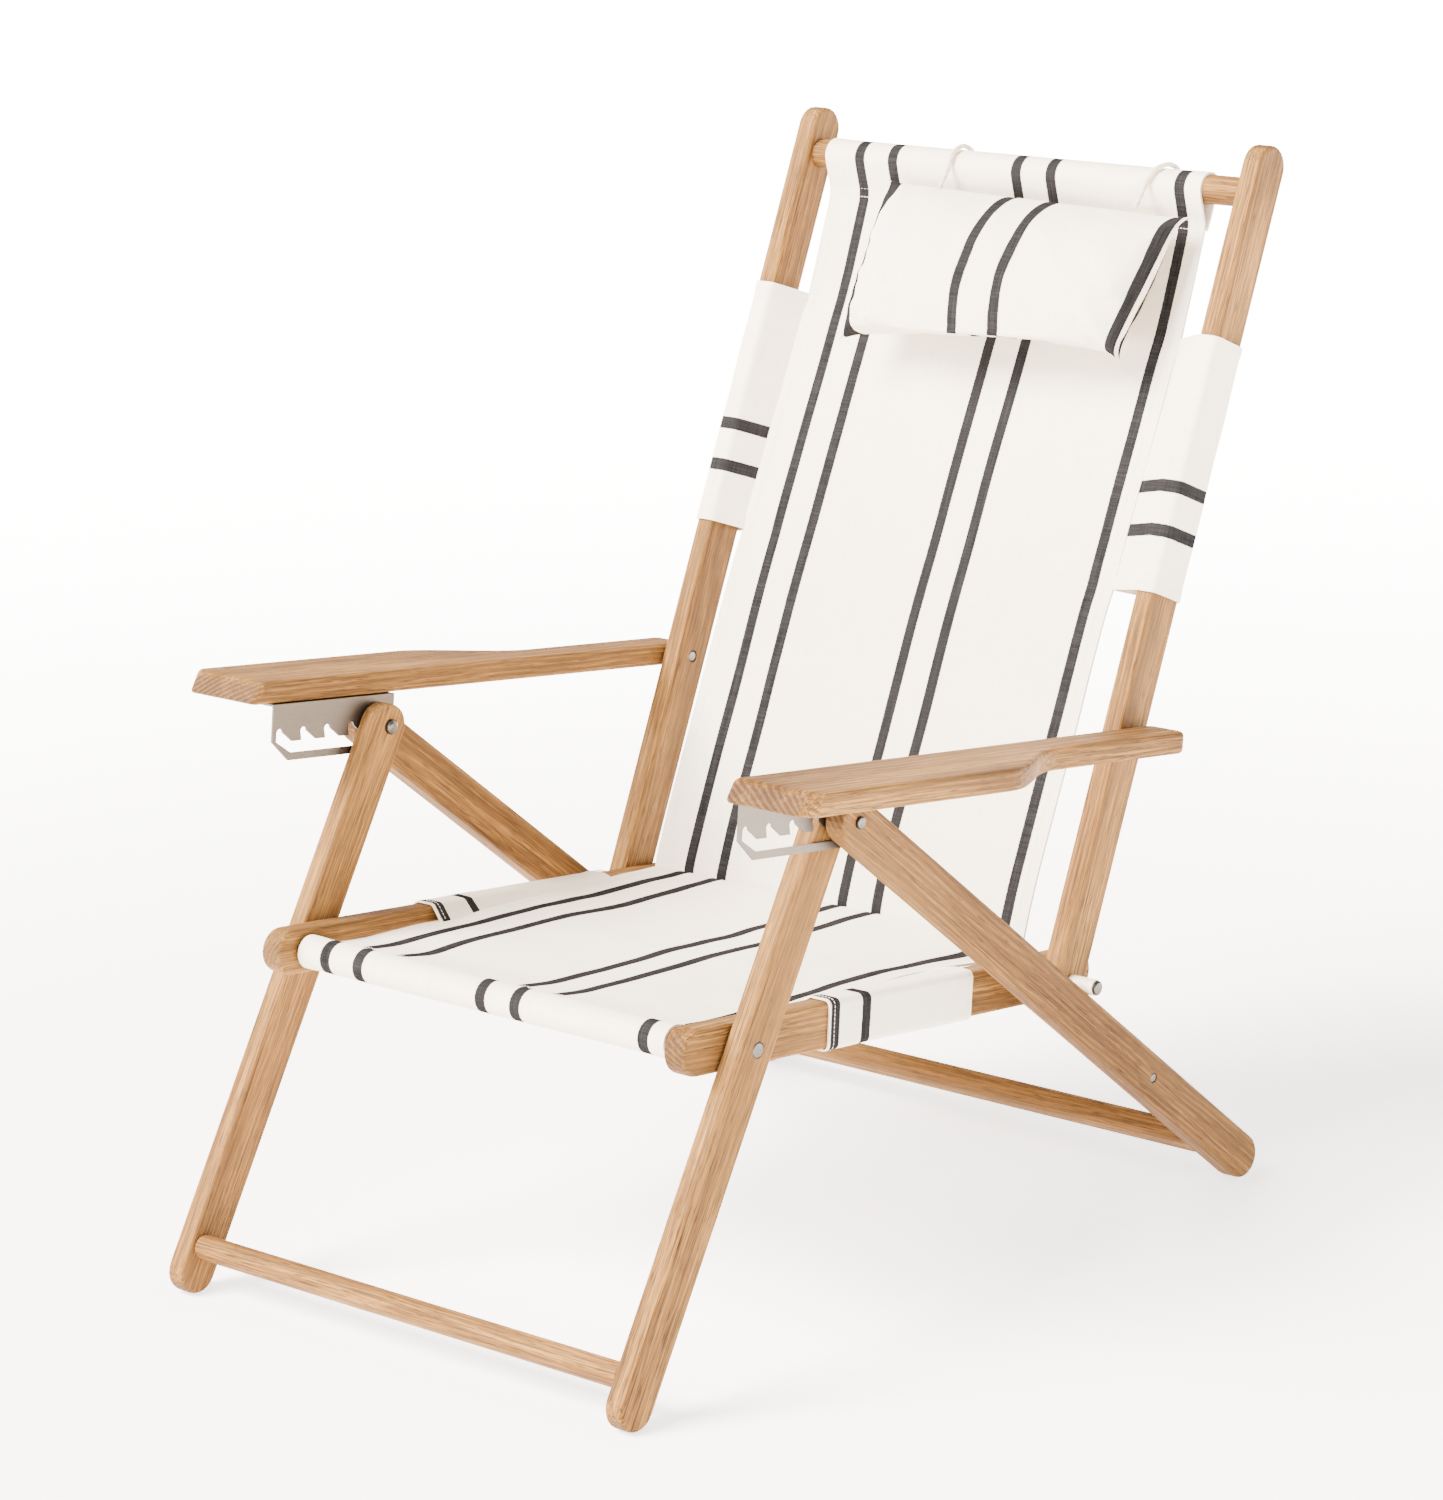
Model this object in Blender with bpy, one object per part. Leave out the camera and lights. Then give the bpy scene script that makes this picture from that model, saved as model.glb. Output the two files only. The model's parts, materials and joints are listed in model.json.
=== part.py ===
"""Folding beach chair: teak frame, canvas sling and a roped head pillow.

Metres, +Z up. The sitter faces -Y, so the sitter's left is +X. The chair stands open on
its four feet with the arm pins in the rear notch, which is the most upright position.
"""
import math

import bmesh
import bpy
from mathutils import Vector

# Driving dimensions ---------------------------------------------------------------
GAP = 0.0003                       # clearance wherever two pieces touch
STICK = 0.0346                     # depth of every flat timber, seen from the side
HALF = STICK / 2
EASE = 0.0030                      # rounding along the timber edges
RAIL_X = (0.1960, 0.2152)          # seat rails, innermost layer
FRAME_X = (0.2170, 0.2343)         # front legs and back uprights share this layer
PLATE_X = (0.2350, 0.2366)         # notched steel plates
REAR_X = (0.2376, 0.2565)          # rear legs, outermost layer
ARM_X = (0.2365, 0.2737, 0.3165)   # arm: inner edge, narrow outer edge, wide outer edge

RAIL_ANGLE = math.radians(-6.3)    # seat rail, front to back
BACK_ANGLE = math.radians(65.9)    # upright, bottom to top
LEG_ANGLE = math.radians(59.1)     # front leg, bottom to top
REAR_ANGLE = math.radians(-39.45)  # rear leg, top to bottom
ARM_ANGLE = math.radians(172.56)   # arm, back to front

SEAT_PIVOT = Vector((0.0, -0.2431, 0.2451))
SEAT_LENGTH = 0.3610               # seat pivot to back pivot
ARM_HEIGHT = 0.1936                # back pivot to arm pivot
LEG_PIVOT_LENGTH = 0.1754          # seat pivot to leg pivot
DOWEL_HEIGHT = 0.6245              # back pivot to top dowel
BACK_LENGTH = 0.6455               # back pivot to the centre of the upright's round top
TOP_DOWEL_R = 0.0115
FRONT_DOWEL_R = 0.0110
FRONT_DOWEL_AT = -0.0290           # along the rail from the seat pivot
RAIL_SPAN = (-0.0417, 0.3930)      # centres of the rail's round ends
STRETCHER = (0.0300, 0.0190)       # long and short sides of the oval stretchers
FRONT_STRETCHER_AT = -0.2470       # along the front leg from the seat pivot
REAR_STRETCHER_AT = 0.5770         # along the rear leg from the leg pivot
REAR_SCREW_AT = 0.4430

ARM_TOP, ARM_BOTTOM = 0.0080, -0.0093
ARM_LENGTH = 0.4650                # arm pivot to the front edge
ARM_STEP = (0.142, 0.250)          # where the arm widens, from the arm pivot
NOTCH_PITCH = 0.0251
NOTCH_REAR = 0.3466                # rear notch, from the arm pivot
NOTCH_DROP = -0.0317               # pin centre below the arm pivot's line
NOTCHES = 5
BRACKET_SCREWS = (0.4300, 0.3400)  # along the arm from its pivot
BRACKET_SCREW_X = 0.2465

SHANK_R = 0.0030
BORE_R = 0.0033
HEAD_R = 0.0058
SMALL_HEAD_R = 0.0046
BUSH_R = 0.0063

CLOTH = 0.0016
BACK_CLOTH_X = (-0.2000, 0.1810)
SEAT_CLOTH_X = (-0.1915, 0.1810)
CREASE = 0.0196                    # height of the seat crease above the back pivot
JOIN = 0.0620                      # top of the strip of back cloth that stays with the seat
BACK_SLEEVE = (0.3040, 0.5060)     # along the upright
RAIL_SLEEVE = (0.0970, 0.2620)     # along the rail
RAIL_SLEEVE_RIGHT = (0.1050, 0.3050)
SLEEVE_CLOTH = 0.0012
SLEEVE_SPREAD = 0.0010             # half the distance between the sleeve's two free edges
PILLOW_TOP = (Vector((-0.121, 0.605)), Vector((0.193, 0.599)))    # across, up the upright
PILLOW_LOW = (Vector((-0.132, 0.463)), Vector((0.156, 0.475)))
PILLOW_SEAM = -0.0275              # behind the upright's middle line
PILLOW_HALF = 0.0290
ROPE_R = 0.0024
ROPES_X = ((0.141, 0.130), (-0.066, -0.067))    # at the dowel, then at the pillow

SIDES = (("left", 1), ("right", -1))


# Places ---------------------------------------------------------------------------
def toward(angle, along, off=0.0):
    """Vector along a side-view direction, plus an offset to its left."""
    c, s = math.cos(angle), math.sin(angle)
    return Vector((0.0, along * c - off * s, along * s + off * c))


BACK_PIVOT = SEAT_PIVOT + toward(RAIL_ANGLE, SEAT_LENGTH)
ARM_PIVOT = BACK_PIVOT + toward(BACK_ANGLE, ARM_HEIGHT)
LEG_PIVOT = SEAT_PIVOT + toward(LEG_ANGLE, LEG_PIVOT_LENGTH)
TOP_DOWEL = BACK_PIVOT + toward(BACK_ANGLE, DOWEL_HEIGHT)
FRONT_FOOT = SEAT_PIVOT - toward(LEG_ANGLE, (SEAT_PIVOT.z - HALF) / math.sin(LEG_ANGLE))
REAR_FOOT = LEG_PIVOT + toward(REAR_ANGLE, (HALF - LEG_PIVOT.z) / math.sin(REAR_ANGLE))


def on_rail(along, up):
    return SEAT_PIVOT + toward(RAIL_ANGLE, along, up)


def on_back(along, behind):
    return BACK_PIVOT + toward(BACK_ANGLE, along, -behind)


def on_arm(along, up):
    return ARM_PIVOT + toward(ARM_ANGLE, along, -up)


# Scene, materials and pivots ------------------------------------------------------
for old in list(bpy.data.objects):
    bpy.data.objects.remove(old, do_unlink=True)


def material(name, colour, roughness, metallic=0.0):
    made = bpy.data.materials.new(name)
    made.use_nodes = True
    shader = made.node_tree.nodes["Principled BSDF"]
    shader.inputs["Base Color"].default_value = (*colour, 1.0)
    shader.inputs["Roughness"].default_value = roughness
    shader.inputs["Metallic"].default_value = metallic
    made.diffuse_color = (*colour, 1.0)
    return made


TEAK = material("teak", (0.60, 0.35, 0.16), 0.55)
STEEL = material("brushed_steel", (0.52, 0.48, 0.44), 0.32, 1.0)
SCREW = material("screw_steel", (0.62, 0.60, 0.57), 0.25, 1.0)
NYLON = material("nylon", (0.84, 0.78, 0.68), 0.45)
CANVAS = material("canvas", (0.88, 0.83, 0.76), 0.90)
ROPE = material("rope", (0.84, 0.78, 0.68), 0.90)


def skin(bm, rings, origin, loop=False):
    """Closed surface through rings of world points."""
    made = [[bm.verts.new(point - origin) for point in ring] for ring in rings]
    pairs = list(zip(made, made[1:]))
    if loop:
        pairs.append((made[-1], made[0]))
    else:
        bm.faces.new(made[0])
        bm.faces.new(made[-1])
    for near, far in pairs:
        for i in range(len(near)):
            j = (i + 1) % len(near)
            bm.faces.new((near[i], near[j], far[j], far[i]))


def solid(name, rings, look, origin, loop=False, crease=35):
    """One piece through rings of world points, with its origin on its joint's axis."""
    bm = bmesh.new()
    skin(bm, rings, origin, loop)
    return finish(name, bm, look, origin, crease)


def finish(name, bm, look, origin, crease=35):
    bmesh.ops.recalc_face_normals(bm, faces=bm.faces)
    mesh = bpy.data.meshes.new(name)
    bm.to_mesh(mesh)
    bm.free()
    for face in mesh.polygons:
        face.use_smooth = True
    mesh.set_sharp_from_angle(angle=math.radians(crease))
    mesh.materials.append(look)
    made = bpy.data.objects.new(name, mesh)
    made.location = origin
    bpy.context.collection.objects.link(made)
    return made


def cut(target, cutter):
    change = target.modifiers.new("bores", "BOOLEAN")
    change.operation = "DIFFERENCE"
    change.solver = "EXACT"
    change.object = cutter


# Outlines -------------------------------------------------------------------------
def eased(low, high, radius, steps=3):
    """Levels across a thickness with how far each is drawn in, for rounded edges."""
    turn = [math.radians(90 * k / steps) for k in range(steps + 1)]
    rise = [(radius * (1 - math.cos(a)), radius * (1 - math.sin(a))) for a in turn]
    return [(low + d, i) for d, i in rise] + [(high - d, i) for d, i in reversed(rise)]


def capsule(a, b, radius, steps=12):
    """Outline with round ends about two centres, in the side view."""
    start = math.atan2((b - a).z, (b - a).y) - math.pi / 2
    ends = [(b, start + math.pi * k / steps) for k in range(steps + 1)]
    ends += [(a, start + math.pi + math.pi * k / steps) for k in range(steps + 1)]
    return [c + Vector((0, radius * math.cos(t), radius * math.sin(t))) for c, t in ends]


def circle(centre, radius, steps):
    turn = [math.tau * k / steps for k in range(steps)]
    return [centre + Vector((0, radius * math.cos(t), radius * math.sin(t))) for t in turn]


def inset(points, depth):
    """A closed outline of (u, v) points drawn inwards by the same depth all round."""
    count = len(points)
    area = sum(points[i - 1][0] * points[i][1] - points[i][0] * points[i - 1][1] for i in range(count))
    way = 1 if area > 0 else -1
    made = []
    for i in range(count):
        before = Vector(points[i]) - Vector(points[i - 1])
        after = Vector(points[(i + 1) % count]) - Vector(points[i])
        n1 = way * Vector((-before.y, before.x)).normalized()
        n2 = way * Vector((-after.y, after.x)).normalized()
        made.append(Vector(points[i]) + depth * (n1 + n2) / (1 + n1.dot(n2)))
    return made


def corner(u, v, radius, first, steps=4):
    """Quarter circle about (u, v), counter-clockwise from the first angle in degrees."""
    turn = [math.radians(first + 90 * k / steps) for k in range(steps + 1)]
    return [(u + radius * math.cos(t), v + radius * math.sin(t)) for t in turn]


def at_x(points, x):
    return [Vector((x, p.y, p.z)) for p in points]


def smooth_path(points, steps):
    """Catmull-Rom curve through (u, v) points."""
    ends = [2 * Vector(points[0]) - Vector(points[1])] + [Vector(p) for p in points]
    ends.append(2 * Vector(points[-1]) - Vector(points[-2]))
    made = []
    for a, b, c, d in zip(ends, ends[1:], ends[2:], ends[3:]):
        for k in range(steps):
            t = k / steps
            curve = 2 * b + (c - a) * t + (2 * a - 5 * b + 4 * c - d) * t * t
            made.append((curve + (3 * b - a - 3 * c + d) * t ** 3) / 2)
    return made + [ends[-2]]


def band(path, thick):
    """Closed outline of a sheet of even thickness that follows a path of (u, v) points."""
    left, right = [], []
    for i, point in enumerate(path):
        run = (path[min(i + 1, len(path) - 1)] - path[max(i - 1, 0)]).normalized()
        side = Vector((-run.y, run.x)) * thick / 2
        left.append(point + side)
        right.append(point - side)
    return left + right[::-1]


# Wood -----------------------------------------------------------------------------
def timber(name, a, b, span, side, origin):
    rings = [at_x(capsule(a, b, HALF - draw), side * x) for x, draw in eased(*span, EASE)]
    return solid(name, rings, TEAK, origin)


def crossbar(name, middle, along, width, origin):
    """Oval stretcher between two legs."""
    long, short = STRETCHER
    half = toward(along, (long - short) / 2)
    rings = []
    for x in (-width, -width + 0.0008, width - 0.0008, width):
        draw = 0.0008 if abs(x) == width else 0.0
        rings.append(at_x(capsule(middle - half, middle + half, short / 2 - draw, 8), x))
    return solid(name, rings, TEAK, origin)


def dowel(name, centre, radius, width, origin):
    return solid(name, [at_x(circle(centre, radius, 28), x) for x in (-width, width)], TEAK, origin)


def arm(name, side):
    inner, narrow, wide = ARM_X
    round_r = 0.0080
    outline = corner(-0.018 + round_r, inner + round_r, round_r, 180)
    outline += [(0.200, inner), (0.400, inner)]
    outline += corner(ARM_LENGTH - 0.006, inner + 0.006, 0.006, 270)
    outline += [(ARM_LENGTH, wide - 0.0100), (ARM_LENGTH - 0.0080, wide), (0.400, wide)]
    for k in range(13):
        t = 1 - k / 12
        sway = t * t * (3 - 2 * t)
        outline.append((ARM_STEP[0] + (ARM_STEP[1] - ARM_STEP[0]) * t, narrow + (wide - narrow) * sway))
    outline += [(0.060, narrow)] + corner(-0.018 + round_r, narrow - round_r, round_r, 90)
    rings = []
    for up, draw in eased(ARM_BOTTOM, ARM_TOP, 0.0040):
        ring = []
        for along, across in inset(outline, draw):
            lean = max(0.0, along - 0.440) / 0.025 * 0.0105 * (ARM_TOP - up) / (ARM_TOP - ARM_BOTTOM)
            place = on_arm(along + lean, up)
            ring.append(Vector((side * across, place.y, place.z)))
        rings.append(ring)
    return solid(name, rings, TEAK, ARM_PIVOT, crease=40)


# Metal ----------------------------------------------------------------------------
def across(centre, profile, side, steps=20):
    """Rings about an axle across the chair, from (x, radius) steps."""
    return [at_x(circle(centre, radius, steps), side * x) for x, radius in profile]


def upward(along, x, profile, steps=14):
    """Rings about a screw that stands up into the arm, from (height, radius) steps."""
    run = toward(ARM_ANGLE, 1)
    turn = [math.tau * k / steps for k in range(steps)]
    rings = []
    for up, radius in profile:
        middle = on_arm(along, up) + Vector((x, 0, 0))
        ring = [middle + radius * (math.cos(t) * run + Vector((math.sin(t), 0, 0))) for t in turn]
        rings.append(ring)
    return rings


def cutter(name, bodies):
    """Hidden tool that bores the timbers."""
    bm = bmesh.new()
    for rings in bodies:
        skin(bm, rings, Vector())
    made = finish(name, bm, STEEL, Vector())
    made.hide_render = True
    made.display_type = "WIRE"
    return made


def notch_bracket(name, side):
    """Angle plate under the arm: a comb of slanting notches and a flange screwed to the wood."""
    top = ARM_BOTTOM - GAP
    fold = top - CLOTH
    rear, front, floor = 0.3260, 0.4545, -0.0535
    outer = [(rear, fold), (rear, floor + 0.005), (rear + 0.0015, floor + 0.0015), (rear + 0.005, floor)]
    outer += [(0.4370, floor), (front, -0.0385), (front, fold)]
    slot = [(rear + 0.0055, -0.0477), (0.4345, -0.0477), (NOTCH_REAR + 4 * NOTCH_PITCH + 0.0033, -0.0385)]
    for k in reversed(range(NOTCHES)):
        middle = NOTCH_REAR + NOTCH_PITCH * k
        if k < NOTCHES - 1:
            slot.append((middle + 0.0018, -0.0388))
        for turn in range(0, 181, 30):
            t = math.radians(turn)
            slot.append((middle + 0.0033 * math.cos(t), NOTCH_DROP + 0.0033 * math.sin(t)))
        slot.append((middle - 0.0133, -0.0388))
    slot[-1] = (rear + 0.0055, -0.0388)
    bm = bmesh.new()
    loops = []
    for outline in (outer, slot):
        places = [on_arm(along, up) - ARM_PIVOT for along, up in outline]
        verts = [bm.verts.new((side * PLATE_X[0], p.y, p.z)) for p in places]
        loops.append([bm.edges.new((verts[i - 1], verts[i])) for i in range(len(verts))])
    upper = loops[0][0]
    bmesh.ops.triangle_fill(bm, use_beauty=True, edges=loops[0] + loops[1])
    lift = on_arm(0, top) - on_arm(0, fold)
    strip = bmesh.ops.extrude_edge_only(bm, edges=[upper])["geom"]
    bmesh.ops.translate(bm, vec=lift, verts=[v for v in strip if isinstance(v, bmesh.types.BMVert)])
    bmesh.ops.recalc_face_normals(bm, faces=bm.faces)
    raised = bmesh.ops.extrude_face_region(bm, geom=bm.faces[:])["geom"]
    thick = Vector((side * (PLATE_X[1] - PLATE_X[0]), 0, 0))
    bmesh.ops.translate(bm, vec=thick, verts=[v for v in raised if isinstance(v, bmesh.types.BMVert)])
    bm.faces.ensure_lookup_table()
    shelf = [f for f in bm.faces if is_strip(f, side * PLATE_X[1], fold, top)]
    for reach, draw in ((0.0145, 0.0), (0.0035, 0.0040)):
        grown = bmesh.ops.extrude_face_region(bm, geom=shelf)["geom"]
        bmesh.ops.delete(bm, geom=shelf, context="FACES_ONLY")
        verts = [v for v in grown if isinstance(v, bmesh.types.BMVert)]
        bmesh.ops.translate(bm, vec=(side * reach, 0, 0), verts=verts)
        middle = sum((v.co for v in verts), Vector()) / len(verts)
        run = toward(ARM_ANGLE, 1)
        for v in verts:
            v.co -= run * draw * math.copysign(1, (v.co - middle).dot(run))
        shelf = [f for f in grown if isinstance(f, bmesh.types.BMFace)]
    return finish(name, bm, STEEL, ARM_PIVOT, 30)


def is_strip(face, x, low, high):
    """Whether a face is the plate's top strip, on the side that the flange grows from."""
    middle = face.calc_center_median()
    height = (middle - (on_arm(0, 0) - ARM_PIVOT)).dot(on_arm(0, 1) - ARM_PIVOT)
    return abs(middle.x - x) < 1e-5 and low < height < high


# Cloth ----------------------------------------------------------------------------
def wrap(centre, radius, start, end, steps=14):
    """Points round a dowel from one angle to another, in degrees."""
    turn = [math.radians(start + (end - start) * k / steps) for k in range(steps + 1)]
    return [Vector((centre[0] + radius * math.cos(t), centre[1] + radius * math.sin(t))) for t in turn]


def sheet(name, path, span, origin):
    """Cloth of even thickness across the chair, following a side-view path of world points."""
    flat = [Vector((p.y, p.z)) for p in path]
    outline = [Vector((0, p.x, p.y)) for p in band(flat, CLOTH)]
    return solid(name, [at_x(outline, x) for x in span], CANVAS, origin, crease=50)


def sleeve_path(edge, level, inner, outer):
    """Band from the sling's edge round a timber and back, as (x, height) points."""
    reach = EASE + GAP + SLEEVE_CLOTH / 2
    flat = HALF - EASE
    centre = Vector((inner + EASE, -flat))
    path = []
    for sign in (-1, 1):
        start = Vector((edge, level + sign * SLEEVE_SPREAD))
        centre = Vector((inner + EASE, sign * flat))
        away = start - centre
        turn = math.degrees(math.atan2(away.y, away.x) + sign * -math.acos(reach / away.length)) % 360
        face = 270 if sign < 0 else 90
        near = wrap(centre, reach, turn, face, 4)
        far = wrap((outer - EASE, sign * flat), reach, face - 360 * (sign < 0), 0, 5)
        path.append([start] + near + far)
    return path[0] + path[1][::-1]


def sleeve(name, side, span, edge, faces, frame, level, origin, steps=6):
    """Canvas sleeve round a timber; level gives the sling's height beside it."""
    rings = []
    for k in range(steps + 1):
        along = span[0] + (span[1] - span[0]) * k / steps
        outline = band(sleeve_path(edge, level(along), *faces), SLEEVE_CLOTH)
        rings.append([frame(along, up) + Vector((side * x, 0, 0)) for x, up in outline])
    return solid(name, rings, CANVAS, origin, crease=50)


def between(points):
    """Height of a polyline of (along, height) points."""
    def height(along):
        for (a, low), (b, high) in zip(points, points[1:]):
            if along <= b:
                return low + (high - low) * (along - a) / (b - a)
        return points[-1][1]
    return height


def pillow(name):
    """Padded pillow, thick in the middle and thinning to a seam all round."""
    columns, rows = 20, 12
    rings = {}
    bm = bmesh.new()
    for side in (-1, 1):
        for i in range(columns + 1):
            for j in range(rows + 1):
                u, v = 2 * i / columns - 1, 2 * j / rows - 1
                rim = abs(u) == 1 or abs(v) == 1
                if rim and side > 0:
                    rings[side, i, j] = rings[-1, i, j]
                    continue
                top = PILLOW_TOP[0].lerp(PILLOW_TOP[1], (u + 1) / 2)
                low = PILLOW_LOW[0].lerp(PILLOW_LOW[1], (u + 1) / 2)
                spot = low.lerp(top, (v + 1) / 2)
                spot.x -= 0.006 * u * (1 - v * v)
                spot.y -= 0.005 * v * (1 - u * u)
                puff = PILLOW_HALF * ((1 - u ** 4) * (1 - v ** 4)) ** 0.55
                place = on_back(spot.y, PILLOW_SEAM + side * puff) + Vector((spot.x, 0, 0))
                rings[side, i, j] = bm.verts.new(place - TOP_DOWEL)
        for i in range(columns):
            for j in range(rows):
                quad = [rings[side, i + a, j + b] for a, b in ((0, 0), (1, 0), (1, 1), (0, 1))]
                bm.faces.new(quad)
    return finish(name, bm, CANVAS, TOP_DOWEL, 60)


def rope(name, dowel_x, pillow_x):
    """Rope from a knot behind the hem, over the dowel's canvas and down towards the pillow."""
    bend = TOP_DOWEL_R + CLOTH + 2 * GAP + ROPE_R
    path = [Vector((DOWEL_HEIGHT - 0.0265, 0.0165)), Vector((DOWEL_HEIGHT - 0.0195, 0.0165))]
    path += wrap((DOWEL_HEIGHT, 0), bend, 120, -100, 16)
    path.append(Vector((DOWEL_HEIGHT - 0.0184, -0.0228)))
    radii = [ROPE_R] * len(path)
    path.insert(1, path[0].lerp(path[1], 0.5))
    radii.insert(1, ROPE_R * 1.9)
    rings = []
    for k, point in enumerate(path):
        run = (path[min(k + 1, len(path) - 1)] - path[max(k - 1, 0)]).normalized()
        x = dowel_x + (pillow_x - dowel_x) * max(0.0, k / (len(path) - 1) - 0.5) * 2
        ring = []
        for step in range(10):
            t = math.tau * step / 10
            spot = point + Vector((-run.y, run.x)) * radii[k] * math.cos(t)
            ring.append(on_back(spot.x, spot.y) + Vector((x + radii[k] * math.sin(t), 0, 0)))
        rings.append(ring)
    return solid(name, rings, ROPE, BACK_PIVOT, crease=80)


# Frame pieces ---------------------------------------------------------------------
AXLES = {
    "seat": (SEAT_PIVOT, [(0.2005, BORE_R), (0.2312, BORE_R), (0.2312, 0.0062), (0.2360, 0.0062)]),
    "back": (BACK_PIVOT, [(0.2005, BORE_R), (0.2360, BORE_R)]),
    "arm": (ARM_PIVOT, [(0.2150, 0.0050), (0.2196, 0.0050), (0.2196, BORE_R), (0.2614, BORE_R)]),
    "leg": (LEG_PIVOT, [(0.2150, BORE_R), (0.2600, BORE_R)]),
    "screw": (LEG_PIVOT + toward(REAR_ANGLE, REAR_SCREW_AT),
              [(0.2415, 0.0021), (0.2541, 0.0021), (0.2541, 0.0041), (0.2600, 0.0041)]),
    "top dowel": (TOP_DOWEL, [(0.2100, TOP_DOWEL_R + GAP), (0.2250, TOP_DOWEL_R + GAP)]),
    "front dowel": (on_rail(FRONT_DOWEL_AT, 0),
                    [(0.1900, FRONT_DOWEL_R + GAP), (0.2060, FRONT_DOWEL_R + GAP)]),
}
BRACKET_HOLE = [(-0.0125, 0.0039), (-0.0111, 0.0039), (-0.0094, 0.0019), (0.0035, 0.0019)]
bodies = [across(place, profile, side, 24) for place, profile in AXLES.values() for _, side in SIDES]
bodies += [upward(at, side * BRACKET_SCREW_X, BRACKET_HOLE) for at in BRACKET_SCREWS for _, side in SIDES]
bores = cutter("bores", bodies)

front_stretcher_at = SEAT_PIVOT + toward(LEG_ANGLE, FRONT_STRETCHER_AT)
rear_stretcher_at = LEG_PIVOT + toward(REAR_ANGLE, REAR_STRETCHER_AT)
crossbar("front_stretcher", front_stretcher_at, LEG_ANGLE + math.pi / 2, FRAME_X[0] - GAP, SEAT_PIVOT)
crossbar("rear_stretcher", rear_stretcher_at, REAR_ANGLE, REAR_X[0] - GAP, LEG_PIVOT)
dowel("top_dowel", TOP_DOWEL, TOP_DOWEL_R, 0.2247, BACK_PIVOT)
dowel("front_seat_dowel", on_rail(FRONT_DOWEL_AT, 0), FRONT_DOWEL_R, 0.2057, SEAT_PIVOT)

for label, side in SIDES:
    made = [
        timber("seat_rail_" + label, on_rail(RAIL_SPAN[0], 0), on_rail(RAIL_SPAN[1], 0),
               RAIL_X, side, SEAT_PIVOT),
        timber("front_leg_" + label, FRONT_FOOT, LEG_PIVOT, FRAME_X, side, SEAT_PIVOT),
        timber("rear_leg_" + label, LEG_PIVOT, REAR_FOOT, REAR_X, side, LEG_PIVOT),
        timber("back_upright_" + label, BACK_PIVOT, on_back(BACK_LENGTH, 0), FRAME_X, side, BACK_PIVOT),
        arm("arm_" + label, side),
        notch_bracket("notch_bracket_" + label, side),
    ]
    for piece in made:
        cut(piece, bores)

# Screws and bushes ----------------------------------------------------------------
BOLTS = (
    ("seat_pivot_screw", SEAT_PIVOT, SEAT_PIVOT,
     [(0.2008, 0.0022), (0.2018, SHANK_R), (0.2316, SHANK_R), (0.2316, HEAD_R),
      (0.2340, HEAD_R), (0.2346, 0.0050), (0.2348, 0.0015)]),
    ("back_pivot_screw", BACK_PIVOT, BACK_PIVOT,
     [(0.2008, 0.0022), (0.2018, SHANK_R), (0.2587, SHANK_R), (0.2587, 0.0054),
      (0.2600, 0.0054), (0.2609, 0.0042), (0.2612, 0.0015)]),
    ("arm_pivot_screw", ARM_PIVOT, ARM_PIVOT,
     [(0.2172, 0.0012), (0.2174, 0.0036), (0.2181, SMALL_HEAD_R), (0.2193, SMALL_HEAD_R),
      (0.2193, SHANK_R), (0.2601, SHANK_R), (0.2611, 0.0022)]),
    ("leg_pivot_nut", LEG_PIVOT, SEAT_PIVOT,
     [(0.2127, 0.0015), (0.2131, 0.0036), (0.2143, 0.0053), (0.2154, HEAD_R),
      (0.2167, HEAD_R), (0.2167, SHANK_R), (0.2346, SHANK_R)]),
    ("leg_pivot_screw", LEG_PIVOT, LEG_PIVOT,
     [(0.2379, SHANK_R), (0.2568, SHANK_R), (0.2568, SMALL_HEAD_R), (0.2580, SMALL_HEAD_R),
      (0.2588, 0.0036), (0.2591, 0.0012)]),
    ("rear_leg_screw", AXLES["screw"][0], LEG_PIVOT,
     [(0.2419, 0.0012), (0.2425, 0.0018), (0.2544, 0.0018), (0.2544, 0.0037),
      (0.2558, 0.0037), (0.2562, 0.0028), (0.2563, 0.0010)]),
)
BUSH = [(0.2346, BORE_R), (0.2346, BUSH_R - 0.0005), (0.2351, BUSH_R), (0.2579, BUSH_R),
        (0.2584, BUSH_R - 0.0005), (0.2584, BORE_R)]
BRACKET_SCREW = [(-0.0111, 0.0012), (-0.0111, 0.0035), (-0.0097, 0.0016), (0.0020, 0.0016), (0.0030, 0.0008)]
for label, side in SIDES:
    for name, place, origin, profile in BOLTS:
        solid(f"{name}_{label}", across(place, profile, side), SCREW, origin, crease=30)
    solid("pivot_bush_" + label, across(BACK_PIVOT, BUSH, side, 28), NYLON, BACK_PIVOT, True, 30)
    for spot, at in zip(("front", "rear"), BRACKET_SCREWS):
        rings = upward(at, side * BRACKET_SCREW_X, BRACKET_SCREW)
        solid(f"bracket_screw_{spot}_{label}", rings, SCREW, ARM_PIVOT, crease=30)

# Canvas ---------------------------------------------------------------------------
back_line = [(0.0655, -0.0016), (0.110, -0.0016), (0.165, -0.0005), (0.250, 0.0), (0.330, 0.003),
             (0.400, 0.0055), (0.455, 0.008), (0.520, 0.0099), (0.548, 0.009), (0.590, 0.0067)]
wrap_r = TOP_DOWEL_R + GAP + CLOTH / 2
path = smooth_path(back_line, 4) + [Vector((0.598, 0.0045)), Vector((0.606, -0.0020))]
path += wrap((DOWEL_HEIGHT, 0), wrap_r, -125, 130, 20)
path += [Vector((0.6040, 0.0100)), Vector((0.5935, 0.0094))]
sheet("sling_back", [on_back(*p) for p in path], BACK_CLOTH_X, BACK_PIVOT)

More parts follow.
